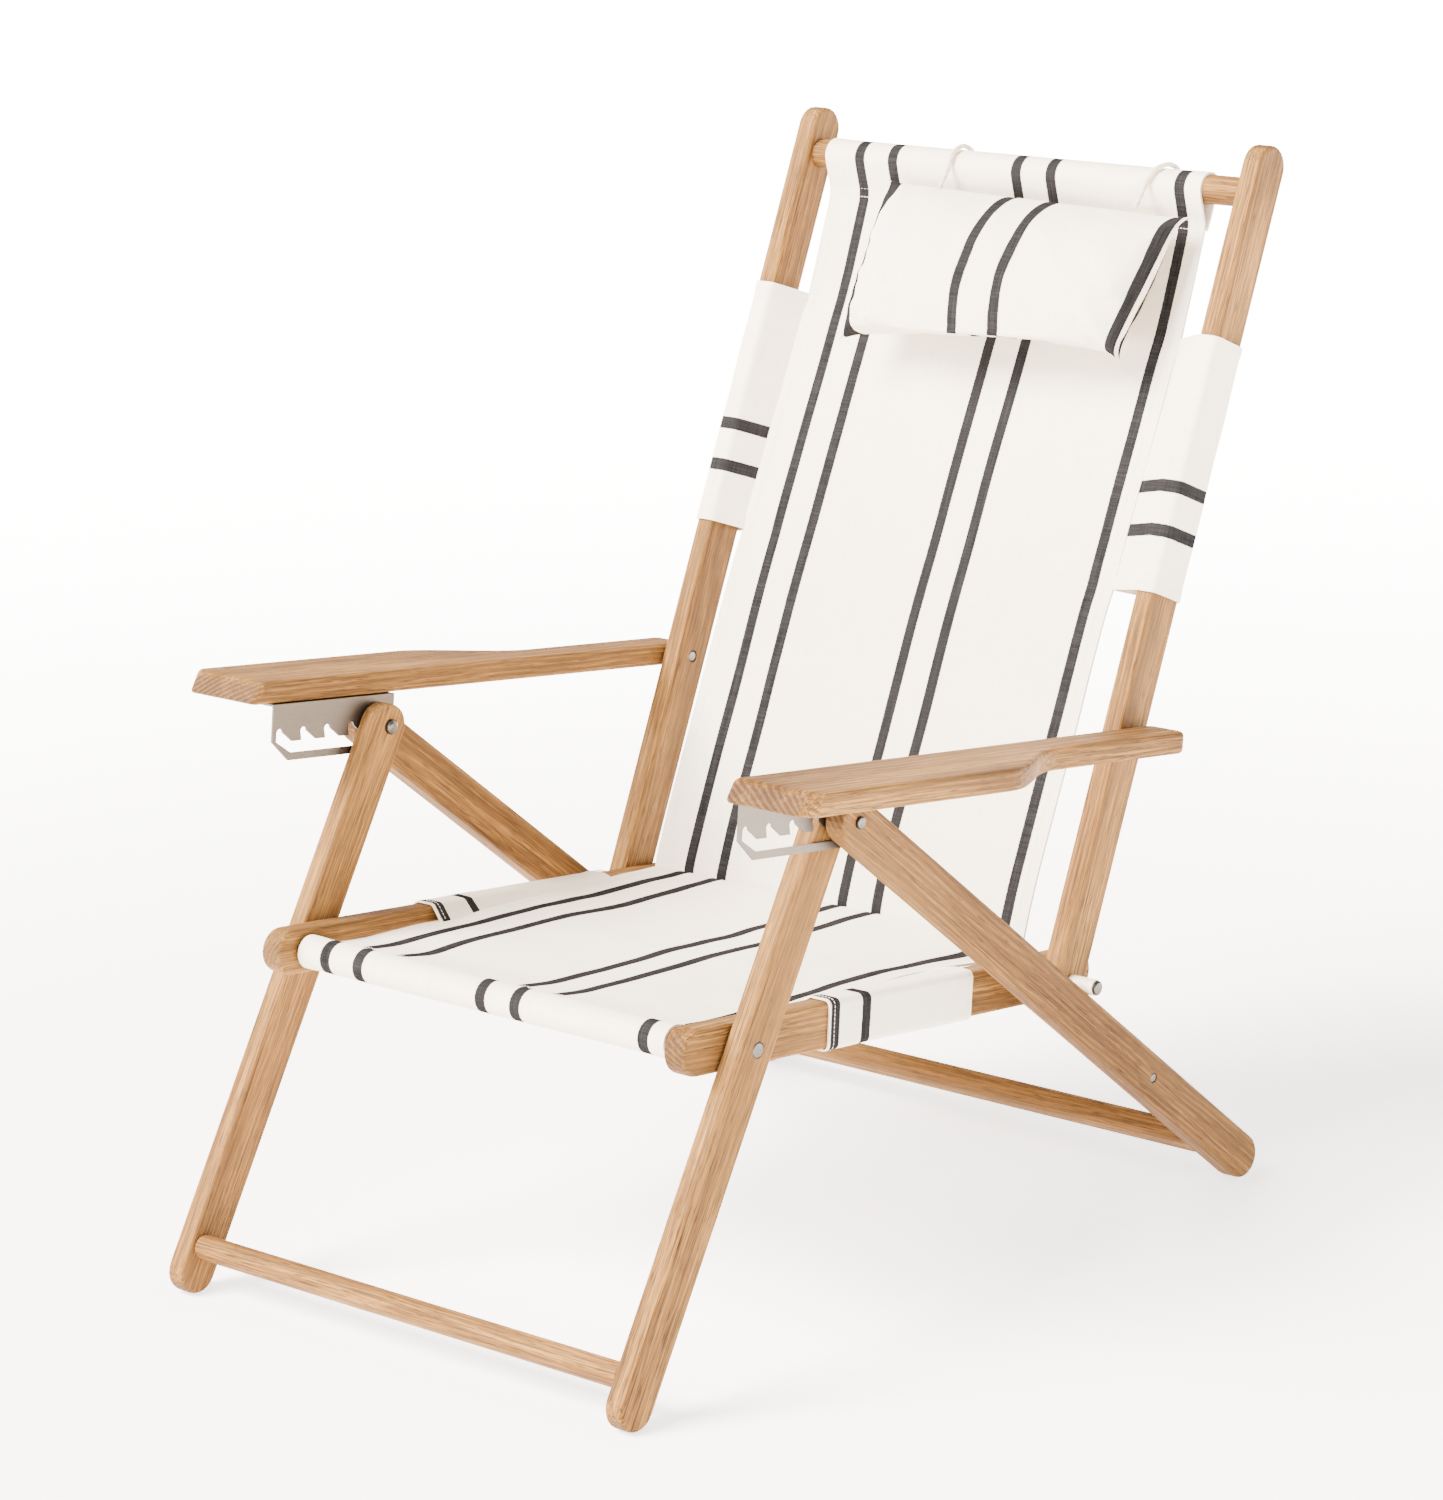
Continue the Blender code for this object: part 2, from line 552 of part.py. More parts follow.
seat_line = [(0.0, 0.0030), (0.040, 0.0025), (0.085, 0.005), (0.140, 0.009), (0.180, 0.0105),
             (0.240, 0.012), (0.300, 0.016), (0.340, 0.0183), (0.364, 0.0188)]
wrap_r = FRONT_DOWEL_R + GAP + CLOTH / 2
path = [Vector((-0.0015, 0.0006)), Vector((-0.0080, -0.0002))]
path += wrap((FRONT_DOWEL_AT, 0), wrap_r, 305, 68, 20) + smooth_path(seat_line, 4)
path = [on_rail(*p) for p in path] + [on_back(CREASE + 0.004, -0.0003), on_back(CREASE + 0.012, -0.0010)]
path += [on_back(0.045, -0.0014), on_back(JOIN, -0.0016)]
sheet("sling_seat", path, SEAT_CLOTH_X, SEAT_PIVOT)

for label, side in SIDES:
    edge = BACK_CLOTH_X[1] if side > 0 else -BACK_CLOTH_X[0]
    sleeve("upright_sleeve_" + label, side, BACK_SLEEVE, edge + 0.0010, FRAME_X, on_back,
           between(back_line), BACK_PIVOT)
    edge = SEAT_CLOTH_X[1] if side > 0 else -SEAT_CLOTH_X[0]
    span = RAIL_SLEEVE if side > 0 else RAIL_SLEEVE_RIGHT
    sleeve("rail_sleeve_" + label, side, span, edge + 0.0010, RAIL_X, on_rail,
           between(seat_line), SEAT_PIVOT)

pillow("pillow")
for (label, _), (dowel_x, pillow_x) in zip(SIDES, ROPES_X):
    rope("pillow_rope_" + label, dowel_x, pillow_x)
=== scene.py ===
import json
import math
import random

import bpy
import numpy as np
from mathutils import Matrix, Vector, noise


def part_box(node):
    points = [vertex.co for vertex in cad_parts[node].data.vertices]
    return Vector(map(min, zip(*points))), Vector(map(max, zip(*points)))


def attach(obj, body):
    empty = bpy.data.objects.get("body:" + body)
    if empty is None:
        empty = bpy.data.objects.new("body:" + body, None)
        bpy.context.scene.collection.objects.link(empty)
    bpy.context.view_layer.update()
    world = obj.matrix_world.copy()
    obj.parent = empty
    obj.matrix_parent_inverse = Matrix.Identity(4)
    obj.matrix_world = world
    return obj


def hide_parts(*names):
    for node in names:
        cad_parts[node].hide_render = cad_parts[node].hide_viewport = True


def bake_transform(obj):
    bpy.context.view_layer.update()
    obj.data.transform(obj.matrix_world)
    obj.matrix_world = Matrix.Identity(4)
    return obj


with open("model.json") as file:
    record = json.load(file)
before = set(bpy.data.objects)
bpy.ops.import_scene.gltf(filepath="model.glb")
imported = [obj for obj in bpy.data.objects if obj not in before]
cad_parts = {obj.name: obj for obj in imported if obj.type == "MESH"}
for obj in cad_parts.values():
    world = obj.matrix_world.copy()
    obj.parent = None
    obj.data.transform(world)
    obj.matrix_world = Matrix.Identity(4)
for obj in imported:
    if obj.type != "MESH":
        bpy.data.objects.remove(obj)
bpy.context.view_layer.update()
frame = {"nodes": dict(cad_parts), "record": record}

# Places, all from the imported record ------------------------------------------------
JOINTS = {j["name"]: np.array(j["pos_m"], float) for j in frame["record"]["behaviour"]["joints"]}
MOUNTS = {m["name"]: m for m in frame["record"]["mounts"]}
P1 = JOINTS["seat_fold"]
P2 = JOINTS["back_fold"]
P3 = JOINTS["arm_fold_left"] * (0, 1, 1)
P4 = JOINTS["rear_leg_fold"]
P5 = JOINTS["pillow_swing"]
NODES = frame["nodes"]


def unit(v):
    return np.asarray(v, float) / np.linalg.norm(v)


def turned(v):
    """The direction a quarter turn to the left of v in the side view."""
    return np.array([0, -v[2], v[1]])


RAIL = unit(P2 - P1)
BACK = unit(P5 - P2)
LEG = unit(P4 - P1)
rear_low, rear_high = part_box("rear_leg_left")
HALF = 0.0173
REAR = unit(np.array([0, rear_high[1] - HALF, rear_low[2] + HALF]) - P4)
ARM_UP = np.array(MOUNTS["arm_top_left"]["axis"], float)
ARM = turned(ARM_UP)
X = np.array([1.0, 0.0, 0.0])
BEHIND = -turned(BACK)
RAIL_UP = turned(RAIL)
DOWEL = float(np.linalg.norm(P5 - P2))


def on_back(along, behind, x=0.0):
    """A place given by distance up the back from its pivot, behind its plane, and across."""
    along, behind, x = (np.asarray(a, float)[..., None] for a in (along, behind, x))
    return P2 + along * BACK + behind * BEHIND + x * X


def on_rail(along, up, x=0.0):
    """A place given by distance along the seat rail from the fold pivot, above it, and across."""
    along, up, x = (np.asarray(a, float)[..., None] for a in (along, up, x))
    return P1 + along * RAIL + up * RAIL_UP + x * X


# Camera and studio -----------------------------------------------------------------
AZIMUTH, ELEVATION, ROLL = math.radians(42.06), math.radians(13.91), math.radians(-1.68)
EYE = Vector((2.5213, -2.8029, 1.3587))
LENS, SENSOR = 122.08, 36.0
SHIFT_X, SHIFT_Y = -0.0017, -0.0402
KEY_TOWARDS = Vector((0.40, 0.66, -0.78))
FLOOR_REACH = 30.0
GLOW_NEAR, GLOW_FAR = 0.55, 3.4
GLOW_LOW, GLOW_HIGH = 2.5, 12.0


def camera():
    level = math.cos(ELEVATION)
    back = Vector((math.sin(AZIMUTH) * level, -math.cos(AZIMUTH) * level, math.sin(ELEVATION)))
    right = Vector((math.cos(AZIMUTH), math.sin(AZIMUTH), 0))
    up = back.cross(right)
    side = math.cos(ROLL) * right + math.sin(ROLL) * up
    top = -math.sin(ROLL) * right + math.cos(ROLL) * up
    data = bpy.data.cameras.new("camera")
    data.lens = LENS
    data.sensor_width = SENSOR
    data.shift_x = SHIFT_X
    data.shift_y = SHIFT_Y
    data.clip_start, data.clip_end = 0.1, 60
    made = bpy.data.objects.new("camera", data)
    made.matrix_world = Matrix((
        (side.x, top.x, back.x, EYE.x), (side.y, top.y, back.y, EYE.y),
        (side.z, top.z, back.z, EYE.z), (0, 0, 0, 1)))
    bpy.context.collection.objects.link(made)
    bpy.context.scene.camera = made


def area_light(name, place, aim, size, power, colour):
    data = bpy.data.lights.new(name, "AREA")
    data.shape = "RECTANGLE"
    data.size, data.size_y = size
    data.energy = power
    data.color = colour
    made = bpy.data.objects.new(name, data)
    made.location = place
    made.rotation_euler = (Vector(aim) - Vector(place)).to_track_quat("-Z", "Y").to_euler()
    bpy.context.collection.objects.link(made)


def sun_light():
    sun = bpy.data.lights.new("key", "SUN")
    sun.energy = 22.5
    sun.angle = math.radians(34)
    sun.color = (1.0, 0.955, 0.90)
    key = bpy.data.objects.new("key", sun)
    key.rotation_euler = KEY_TOWARDS.to_track_quat("-Z", "Y").to_euler()
    bpy.context.collection.objects.link(key)


def floor_look():
    """Matt white that glows more with distance from the chair, like a sweep lit from behind."""
    look = bpy.data.materials.new("floor_white")
    look.use_nodes = True
    nodes, links = look.node_tree.nodes, look.node_tree.links
    shader = nodes["Principled BSDF"]
    place = nodes.new("ShaderNodeNewGeometry")
    away = nodes.new("ShaderNodeVectorMath")
    away.operation = "LENGTH"
    links.new(place.outputs["Position"], away.inputs[0])
    glow = nodes.new("ShaderNodeMapRange")
    glow.interpolation_type = "SMOOTHSTEP"
    for socket, value in (("From Min", GLOW_NEAR), ("From Max", GLOW_FAR),
                          ("To Min", GLOW_LOW), ("To Max", GLOW_HIGH)):
        glow.inputs[socket].default_value = value
    links.new(away.outputs["Value"], glow.inputs["Value"])
    links.new(glow.outputs["Result"], shader.inputs["Emission Strength"])
    shader.inputs["Base Color"].default_value = (0.93, 0.90, 0.88, 1)
    shader.inputs["Emission Color"].default_value = (1.0, 0.965, 0.94, 1)
    shader.inputs["Roughness"].default_value = 1.0
    shader.inputs["Specular IOR Level"].default_value = 0.0
    return look


def studio():
    world = bpy.data.worlds.new("studio")
    world.use_nodes = True
    surround = world.node_tree.nodes["Background"]
    surround.inputs["Color"].default_value = (1.0, 0.992, 0.98, 1)
    surround.inputs["Strength"].default_value = 1.15
    bpy.context.scene.world = world
    sun_light()
    area_light("side", (3.4, -1.2, 1.2), (0, 0, 0.4), (1.4, 1.8), 40, (1.0, 0.975, 0.94))
    mesh = bpy.data.meshes.new("floor")
    corners = [(x * FLOOR_REACH, y * FLOOR_REACH, 0) for x, y in ((-1, -1), (1, -1), (1, 1), (-1, 1))]
    mesh.from_pydata(corners, [], [(0, 1, 2, 3)])
    mesh.materials.append(floor_look())
    floor = bpy.data.objects.new("floor", mesh)
    bpy.context.collection.objects.link(floor)


camera()
studio()


# Materials -------------------------------------------------------------------------
class Look:
    """A small helper for building one material's nodes."""

    def __init__(self, name):
        self.material = bpy.data.materials.new(name)
        self.material.use_nodes = True
        self.tree = self.material.node_tree
        self.shader = self.tree.nodes["Principled BSDF"]

    def node(self, kind, **settings):
        made = self.tree.nodes.new(kind)
        for key, value in settings.items():
            setattr(made, key, value)
        return made

    def wire(self, source, target):
        self.tree.links.new(source, target)

    def put(self, socket, value):
        """Links an output to a socket, or sets a plain value on it."""
        if isinstance(value, bpy.types.NodeSocket):
            self.wire(value, socket)
        else:
            socket.default_value = value

    def math(self, operation, a, b=0.0, c=0.0):
        made = self.node("ShaderNodeMath", operation=operation)
        for socket, value in zip(made.inputs, (a, b, c)):
            self.put(socket, value)
        return made.outputs[0]

    def noise(self, place, scale, detail=3.0, rough=0.55, distortion=0.0):
        made = self.node("ShaderNodeTexNoise")
        self.put(made.inputs["Vector"], place)
        made.inputs["Scale"].default_value = scale
        made.inputs["Detail"].default_value = detail
        made.inputs["Roughness"].default_value = rough
        made.inputs["Distortion"].default_value = distortion
        return made.outputs["Fac"]

    def stretch(self, place, scale, shift=(0, 0, 0), turn=(0, 0, 0)):
        made = self.node("ShaderNodeMapping")
        self.put(made.inputs["Vector"], place)
        made.inputs["Location"].default_value = shift
        made.inputs["Rotation"].default_value = turn
        made.inputs["Scale"].default_value = scale
        return made.outputs["Vector"]

    def ramp(self, value, stops):
        made = self.node("ShaderNodeValToRGB")
        self.put(made.inputs["Fac"], value)
        bar = made.color_ramp
        bar.interpolation = "LINEAR"
        while len(bar.elements) < len(stops):
            bar.elements.new(0.5)
        for element, (at, colour) in zip(bar.elements, stops):
            element.position = at
            element.color = (*colour, 1)
        return made.outputs["Color"]

    def mix(self, factor, a, b):
        made = self.node("ShaderNodeMix", data_type="RGBA", blend_type="MIX")
        self.put(made.inputs["Factor"], factor)
        colours = [s for s in made.inputs if s.type == "RGBA"]
        for socket, value in zip(colours, (a, b)):
            self.put(socket, value if isinstance(value, bpy.types.NodeSocket) else (*value, 1))
        return [s for s in made.outputs if s.type == "RGBA"][0]

    def range(self, value, low, high, to_low, to_high, smooth=False):
        made = self.node("ShaderNodeMapRange")
        if smooth:
            made.interpolation_type = "SMOOTHSTEP"
        for socket, v in zip(made.inputs, (value, low, high, to_low, to_high)):
            self.put(socket, v)
        return made.outputs["Result"]

    def bump(self, height, distance, strength=1.0, before=None):
        made = self.node("ShaderNodeBump")
        self.put(made.inputs["Height"], height)
        made.inputs["Distance"].default_value = distance
        made.inputs["Strength"].default_value = strength
        if before is not None:
            self.wire(before, made.inputs["Normal"])
        return made.outputs["Normal"]

    def place(self):
        return self.node("ShaderNodeTexCoord").outputs["Object"]

    def uv(self):
        return self.node("ShaderNodeTexCoord").outputs["UV"]


WOOD_PALE, WOOD_LIGHT = (0.400, 0.200, 0.052), (0.262, 0.1190, 0.0262)
WOOD_WARM, WOOD_DARK = (0.138, 0.0570, 0.0123), (0.040, 0.0160, 0.0052)
FIBRE_BROWN, FINE_BROWN = (0.078, 0.0315, 0.0088), (0.036, 0.0145, 0.0048)
PORE_BROWN, RUBBED = (0.024, 0.0100, 0.0042), (0.38, 0.200, 0.060)
END_LIGHT, END_DARK = (0.098, 0.047, 0.0175), (0.030, 0.0145, 0.0070)
RINGS_PER_METRE = 260.0
RING_TURN = 0.62


def wood(name, run, seed, tone, streak):
    """Oiled teak with its grain along run, a direction in the side view, or across the chair."""
    look = Look(name)
    rng = random.Random(seed)
    shift = tuple(rng.uniform(-5, 5) for _ in range(3))
    lean = (0, 0, math.pi / 2) if abs(run[0]) > 0.5 else (-math.atan2(run[2], run[1]), 0, 0)
    local = look.stretch(look.place(), (1, 1, 1), turn=lean)
    # growth rings: long cones about a heart well outside the board
    heart = (rng.uniform(-0.05, 0.05), 0.0, rng.choice((-1, 1)) * rng.uniform(0.03, 0.08))
    sway = look.noise(look.stretch(local, (5, 2.2, 5), shift), 1.0, 2.0)
    waver = look.noise(look.stretch(local, (30, 6, 30), shift), 1.0, 3.0)
    rings = look.stretch(local, (1, 0.022, 1), heart)
    length = look.node("ShaderNodeVectorMath", operation="LENGTH")
    look.wire(rings, length.inputs[0])
    radius = look.math("ADD", length.outputs["Value"], look.math("MULTIPLY", sway, 0.034))
    radius = look.math("ADD", radius, look.math("MULTIPLY", waver, 0.0045))
    phase = look.math("FRACT", look.math("MULTIPLY", radius, RINGS_PER_METRE))
    ring = look.range(look.math("PINGPONG", phase, RING_TURN), 0.0, RING_TURN, 0.0, 1.0, True)
    fibre = look.noise(look.stretch(local, (420, 9, 420), shift), 1.0, 4.0, 0.6)
    pores = look.noise(look.stretch(local, (1500, 55, 1500), shift), 1.0, 1.0)
    pore = look.range(pores, 0.59, 0.66, 0.0, 1.0)
    broad = look.noise(look.stretch(local, (26, 2.4, 26), shift), 1.0, 3.0, 0.5, 0.6)
    bands = look.noise(look.stretch(local, (95, 2.6, 95), shift), 1.0, 4.0, 0.6, 0.4)
    shade = look.math("ADD", look.math("MULTIPLY", broad, 0.55), look.math("MULTIPLY", bands, 0.45))
    base = look.ramp(look.range(shade, 0.39, 0.61, 0.05 + 0.10 * tone, 0.55 + 0.45 * tone),
                     [(0.0, WOOD_PALE), (0.45, WOOD_LIGHT), (1.0, WOOD_WARM)])
    shown = look.range(broad, 0.34, 0.66, 0.10 + 0.25 * streak, min(1.0, 1.15 * streak))
    colour = look.mix(look.math("MULTIPLY", ring, shown), base, WOOD_DARK)
    colour = look.mix(look.range(fibre, 0.44, 0.60, 0.0, 0.68), colour, FIBRE_BROWN)
    fine = look.noise(look.stretch(local, (950, 17, 950), shift), 1.0, 2.0, 0.5)
    colour = look.mix(look.range(fine, 0.53, 0.62, 0.0, 0.74), colour, FINE_BROWN)
    colour = look.mix(look.math("MULTIPLY", pore, 0.80), colour, PORE_BROWN)
    hand = look.noise(look.stretch(local, (9, 3, 9), shift), 1.0, 2.0)
    colour = look.mix(look.range(hand, 0.35, 0.7, 0.0, 0.20), colour, RUBBED)
    facing = look.node("ShaderNodeVectorMath", operation="DOT_PRODUCT")
    look.wire(look.node("ShaderNodeTexCoord").outputs["Normal"], facing.inputs[0])
    facing.inputs[1].default_value = tuple(float(c) for c in run)
    end = look.range(look.math("ABSOLUTE", facing.outputs["Value"]), 0.55, 0.95, 0.0, 1.0, True)
    speck = look.noise(look.stretch(local, (700, 700, 700), shift), 1.0, 2.0)
    spots = look.range(look.math("ADD", ring, speck), 0.5, 1.4, 0.0, 1.0)
    grain_end = look.mix(spots, END_LIGHT, END_DARK)
    colour = look.mix(look.math("MULTIPLY", end, 0.30 + 0.60 * streak), colour, grain_end)
    look.wire(colour, look.shader.inputs["Base Color"])
    look.put(look.shader.inputs["Roughness"], look.range(fibre, 0.2, 0.8, 0.55, 0.70))
    look.shader.inputs["Specular IOR Level"].default_value = 0.10
    grain = look.bump(look.math("SUBTRACT", fibre, look.math("MULTIPLY", pore, 0.5)), 0.00022, 0.55)
    look.wire(look.bump(ring, 0.00012, 0.35, grain), look.shader.inputs["Normal"])
    return look.material


# COTTON_SHADE is a shaded copy of the cotton colour, used as painted shade in the hollows of the weave
COTTON, COTTON_SHADE = (0.90, 0.800, 0.670), (0.50, 0.42, 0.32)
SLUB = (0.60, 0.50, 0.38)
CHARCOAL, CHARCOAL_SLUB = (0.0115, 0.0108, 0.0113), (0.042, 0.039, 0.038)
YARN = 0.00095
STRIPE_WIDTH = 0.0102
STRIPE_EDGE = 0.0003
RAGGED = 0.0011


def canvas(name, across=(), along=()):
    """Plain-weave canvas on UVs in metres. A stripe is a place, or a place and a width."""
    look = Look(name)
    place = look.uv()
    split = look.node("ShaderNodeSeparateXYZ")
    look.wire(place, split.inputs[0])
    u, v = split.outputs["X"], split.outputs["Y"]
    ragged = look.noise(look.stretch(place, (900, 900, 1)), 1.0, 1.0)
    ragged = look.math("MULTIPLY", look.math("SUBTRACT", ragged, 0.5), RAGGED)
    stripe = None
    for centres, axis in ((across, u), (along, v)):
        for item in centres:
            centre, wide = item if isinstance(item, tuple) else (item, STRIPE_WIDTH)
            off = look.math("ABSOLUTE", look.math("SUBTRACT", look.math("ADD", axis, ragged), centre))
            band = look.range(off, wide / 2 - STRIPE_EDGE, wide / 2 + STRIPE_EDGE, 1.0, 0.0)
            stripe = band if stripe is None else look.math("MAXIMUM", stripe, band)
    warp = look.math("SINE", look.math("MULTIPLY", u, 2 * math.pi / YARN))
    weft = look.math("SINE", look.math("MULTIPLY", v, 2 * math.pi / YARN))
    weave = look.math("MULTIPLY", warp, weft)
    slub_u = look.noise(look.stretch(place, (1300, 28, 1)), 1.0, 2.0)
    slub_v = look.noise(look.stretch(place, (28, 1300, 1)), 1.0, 2.0)
    slub = look.math("ADD", slub_u, slub_v)
    cloud = look.noise(look.stretch(place, (14, 14, 1)), 1.0, 3.0)
    white = look.mix(look.range(cloud, 0.3, 0.7, 0.0, 0.30), COTTON, tuple(0.955 * c for c in COTTON))
    white = look.mix(look.range(slub, 0.85, 1.25, 0.0, 0.30), white, SLUB)
    # Painted shade: the low parts of the weave, where the thread bump sinks, are darkened towards the shaded
    # cotton colour
    white = look.mix(look.range(weave, -1.0, 0.2, 0.10, 0.0), white, COTTON_SHADE)
    if stripe is not None:
        black = look.mix(look.range(slub, 0.8, 1.25, 0.0, 0.55), CHARCOAL, CHARCOAL_SLUB)
        white = look.mix(stripe, white, black)
    look.wire(white, look.shader.inputs["Base Color"])
    look.shader.inputs["Roughness"].default_value = 0.92
    look.shader.inputs["Specular IOR Level"].default_value = 0.0
    threads = look.bump(look.math("ADD", weave, look.math("MULTIPLY", slub, 1.6)), 0.00016, 0.5)
    look.wire(look.bump(cloud, 0.0012, 0.4, threads), look.shader.inputs["Normal"])
    return look.material


def steel(name, colour, rough, run=None):
    """Stainless steel, brushed along run, with finer wear."""
    look = Look(name)
    turn = (-math.atan2(run[2], run[1]), 0, 0) if run is not None else (0, 0, 0)
    local = look.stretch(look.place(), (1, 1, 1), turn=turn)
    brush = look.noise(look.stretch(local, (60, 60, 5200)), 1.0, 3.0, 0.7)
    smear = look.noise(look.stretch(local, (70, 70, 70)), 1.0, 3.0)
    tone = look.mix(look.range(brush, 0.3, 0.7, 0.0, 0.5), colour, tuple(0.72 * c for c in colour))
    tone = look.mix(look.range(smear, 0.35, 0.75, 0.0, 0.35), tone, tuple(0.8 * c for c in colour))
    look.wire(tone, look.shader.inputs["Base Color"])
    look.shader.inputs["Metallic"].default_value = 1.0
    look.put(look.shader.inputs["Roughness"], look.range(brush, 0.2, 0.8, rough - 0.07, rough + 0.12))
    look.wire(look.bump(brush, 0.00005, 0.5), look.shader.inputs["Normal"])
    return look.material


def nylon(name):
    look = Look(name)
    cloud = look.noise(look.stretch(look.place(), (160, 160, 160)), 1.0, 3.0)
    look.wire(look.mix(look.range(cloud, 0.3, 0.7, 0.0, 1.0), (0.76, 0.64, 0.46), (0.62, 0.50, 0.33)),
              look.shader.inputs["Base Color"])
    look.shader.inputs["Roughness"].default_value = 0.42
    look.shader.inputs["Subsurface Weight"].default_value = 0.15
    look.shader.inputs["Subsurface Radius"].default_value = (0.003, 0.002, 0.0012)
    look.wire(look.bump(cloud, 0.0002, 0.3), look.shader.inputs["Normal"])
    return look.material


def thread(name, colour):
    """Spun cotton, for ropes and stitches."""
    look = Look(name)
    fuzz = look.noise(look.stretch(look.place(), (1800, 1800, 1800)), 1.0, 3.0)
    look.wire(look.mix(look.range(fuzz, 0.3, 0.7, 0.0, 1.0), colour, tuple(0.78 * c for c in colour)),
              look.shader.inputs["Base Color"])
    look.shader.inputs["Roughness"].default_value = 0.9
    look.shader.inputs["Sheen Weight"].default_value = 0.3
    look.wire(look.bump(fuzz, 0.0003, 0.5), look.shader.inputs["Normal"])
    return look.material


# Wood and steel nodes keep their CAD shape -----------------------------------------
def dress(node, look):
    """Gives one CAD node a material."""
    piece = NODES[node]
    piece.data.materials.clear()
    piece.data.materials.append(look)


TIMBERS = (("front_leg", LEG, 0.35, 0.35), ("rear_leg", REAR, 0.60, 0.60), ("seat_rail", RAIL, 0.75, 0.55),
           ("back_upright", BACK, 0.62, 0.55), ("arm", ARM, 0.55, 0.75))
for order, (stem, run, tone, streak) in enumerate(TIMBERS):
    for which, side in enumerate(("left", "right")):
        dress(f"{stem}_{side}", wood(f"teak_{stem}_{side}", run, 11 + 7 * order + 3 * which, tone, streak))
for order, stem in enumerate(("front_stretcher", "rear_stretcher", "top_dowel", "front_seat_dowel")):
    dress(stem, wood(f"teak_{stem}", X, 71 + 5 * order, 0.5, 0.4))
# The plate and screw base colours are far darker than stainless steel really is: painted shade standing in
# for the darker surroundings the steel reflects
PLATE = steel("stainless_plate", (0.130, 0.111, 0.092), 0.36, ARM)
SCREW = steel("stainless_screw", (0.115, 0.103, 0.091), 0.24)
# SHADE is painted shade and painted reflection: near-black steel laid in the screws' cross recesses and round
# the rims of their heads
SHADE = steel("stainless_recess", (0.030, 0.027, 0.024), 0.55)
for side in ("left", "right"):
    dress(f"notch_bracket_{side}", PLATE)
    dress(f"pivot_bush_{side}", nylon(f"nylon_{side}"))
for name in NODES:
    if "screw" in name or "nut" in name:
        dress(name, SCREW)

# Cloth helpers ---------------------------------------------------------------------
def mesh_piece(name, points, faces, look, uv=None, crease=60):
    mesh = bpy.data.meshes.new(name)
    corners = [tuple(p) for p in np.asarray(points, float)]
    mesh.from_pydata(corners, [], [tuple(int(i) for i in f) for f in faces])
    mesh.polygons.foreach_set("use_smooth", [True] * len(mesh.polygons))
    if uv is not None:
        layer = mesh.uv_layers.new(name="cloth")
        index = np.empty(len(mesh.loops), int)
        mesh.loops.foreach_get("vertex_index", index)
        layer.data.foreach_set("uv", np.asarray(uv, float)[index].ravel())
    mesh.set_sharp_from_angle(angle=math.radians(crease))
    mesh.materials.append(look)
    made = bpy.data.objects.new(name, mesh)
    bpy.context.collection.objects.link(made)
    return made


def smooth_path(points, steps=10):
    """Catmull-Rom curve through points of any dimension."""
    p = np.asarray(points, float)
    p = np.vstack([2 * p[0] - p[1], p, 2 * p[-1] - p[-2]])
    made = []
    for a, b, c, d in zip(p, p[1:], p[2:], p[3:]):
        for t in np.arange(steps) / steps:
            made.append(0.5 * (2 * b + (c - a) * t + (2 * a - 5 * b + 4 * c - d) * t * t
                               + (3 * b - a - 3 * c + d) * t ** 3))
    return np.array(made + [p[-2]])


def resample(points, step):
    """The same polyline at even spacing, and the distance along it."""
    gaps = np.linalg.norm(np.diff(points, axis=0), axis=1)
    along = np.concatenate([[0], np.cumsum(gaps)])
    count = max(2, int(round(along[-1] / step)) + 1)
    at = np.linspace(0, along[-1], count)
    return np.stack([np.interp(at, along, points[:, k]) for k in range(points.shape[1])], 1), at


def arc(centre, radius, start, end, steps=24):
    turn = np.radians(np.linspace(start, end, steps))
    return np.stack([centre[0] + radius * np.cos(turn), centre[1] + radius * np.sin(turn)], 1)


def normals(grid):
    down, across = np.gradient(grid, axis=0), np.gradient(grid, axis=1)
    n = np.cross(across, down)
    return n / np.maximum(np.linalg.norm(n, axis=2, keepdims=True), 1e-12)


def shell(name, grid, front, back, uv, look, crease=60):
    """Cloth with a front and a back face, each a distance from the middle surface, and closed edges."""
    rows, columns = grid.shape[:2]
    n = normals(grid)
    faced, backed = grid + n * front[..., None], grid - n * back[..., None]
    points = np.concatenate([faced.reshape(-1, 3), backed.reshape(-1, 3)])
    i, j = np.meshgrid(np.arange(rows - 1), np.arange(columns - 1), indexing="ij")
    a = (i * columns + j).ravel()
    quads = np.stack([a, a + 1, a + columns + 1, a + columns], 1)
    other = rows * columns
    faces = [quads[:, ::-1], quads + other]
    edge = np.concatenate([np.arange(columns), np.arange(1, rows) * columns + columns - 1,
                           other - 2 - np.arange(columns - 1), np.arange(rows - 2, 0, -1) * columns])
    step = np.roll(edge, -1)
    faces.append(np.stack([edge, step, step + other, edge + other], 1))
    flat = uv.reshape(-1, 2)
    return mesh_piece(name, points, np.concatenate(faces), look, np.concatenate([flat, flat]), crease)


def ripple(u, v, size, seed):
    """Smooth noise from -1 to 1 on two arrays in metres."""
    u, v = np.broadcast_arrays(u, v)
    flat = [noise.noise((a / size[0] + seed, b / size[1] - seed, seed * 0.37))
            for a, b in zip(u.ravel(), v.ravel())]
    return np.array(flat).reshape(u.shape) * 1.6


def near(value, centre, width):
    """1 at a centre, falling smoothly to 0 away from it."""
    return np.exp(-((value - centre) / width) ** 2)


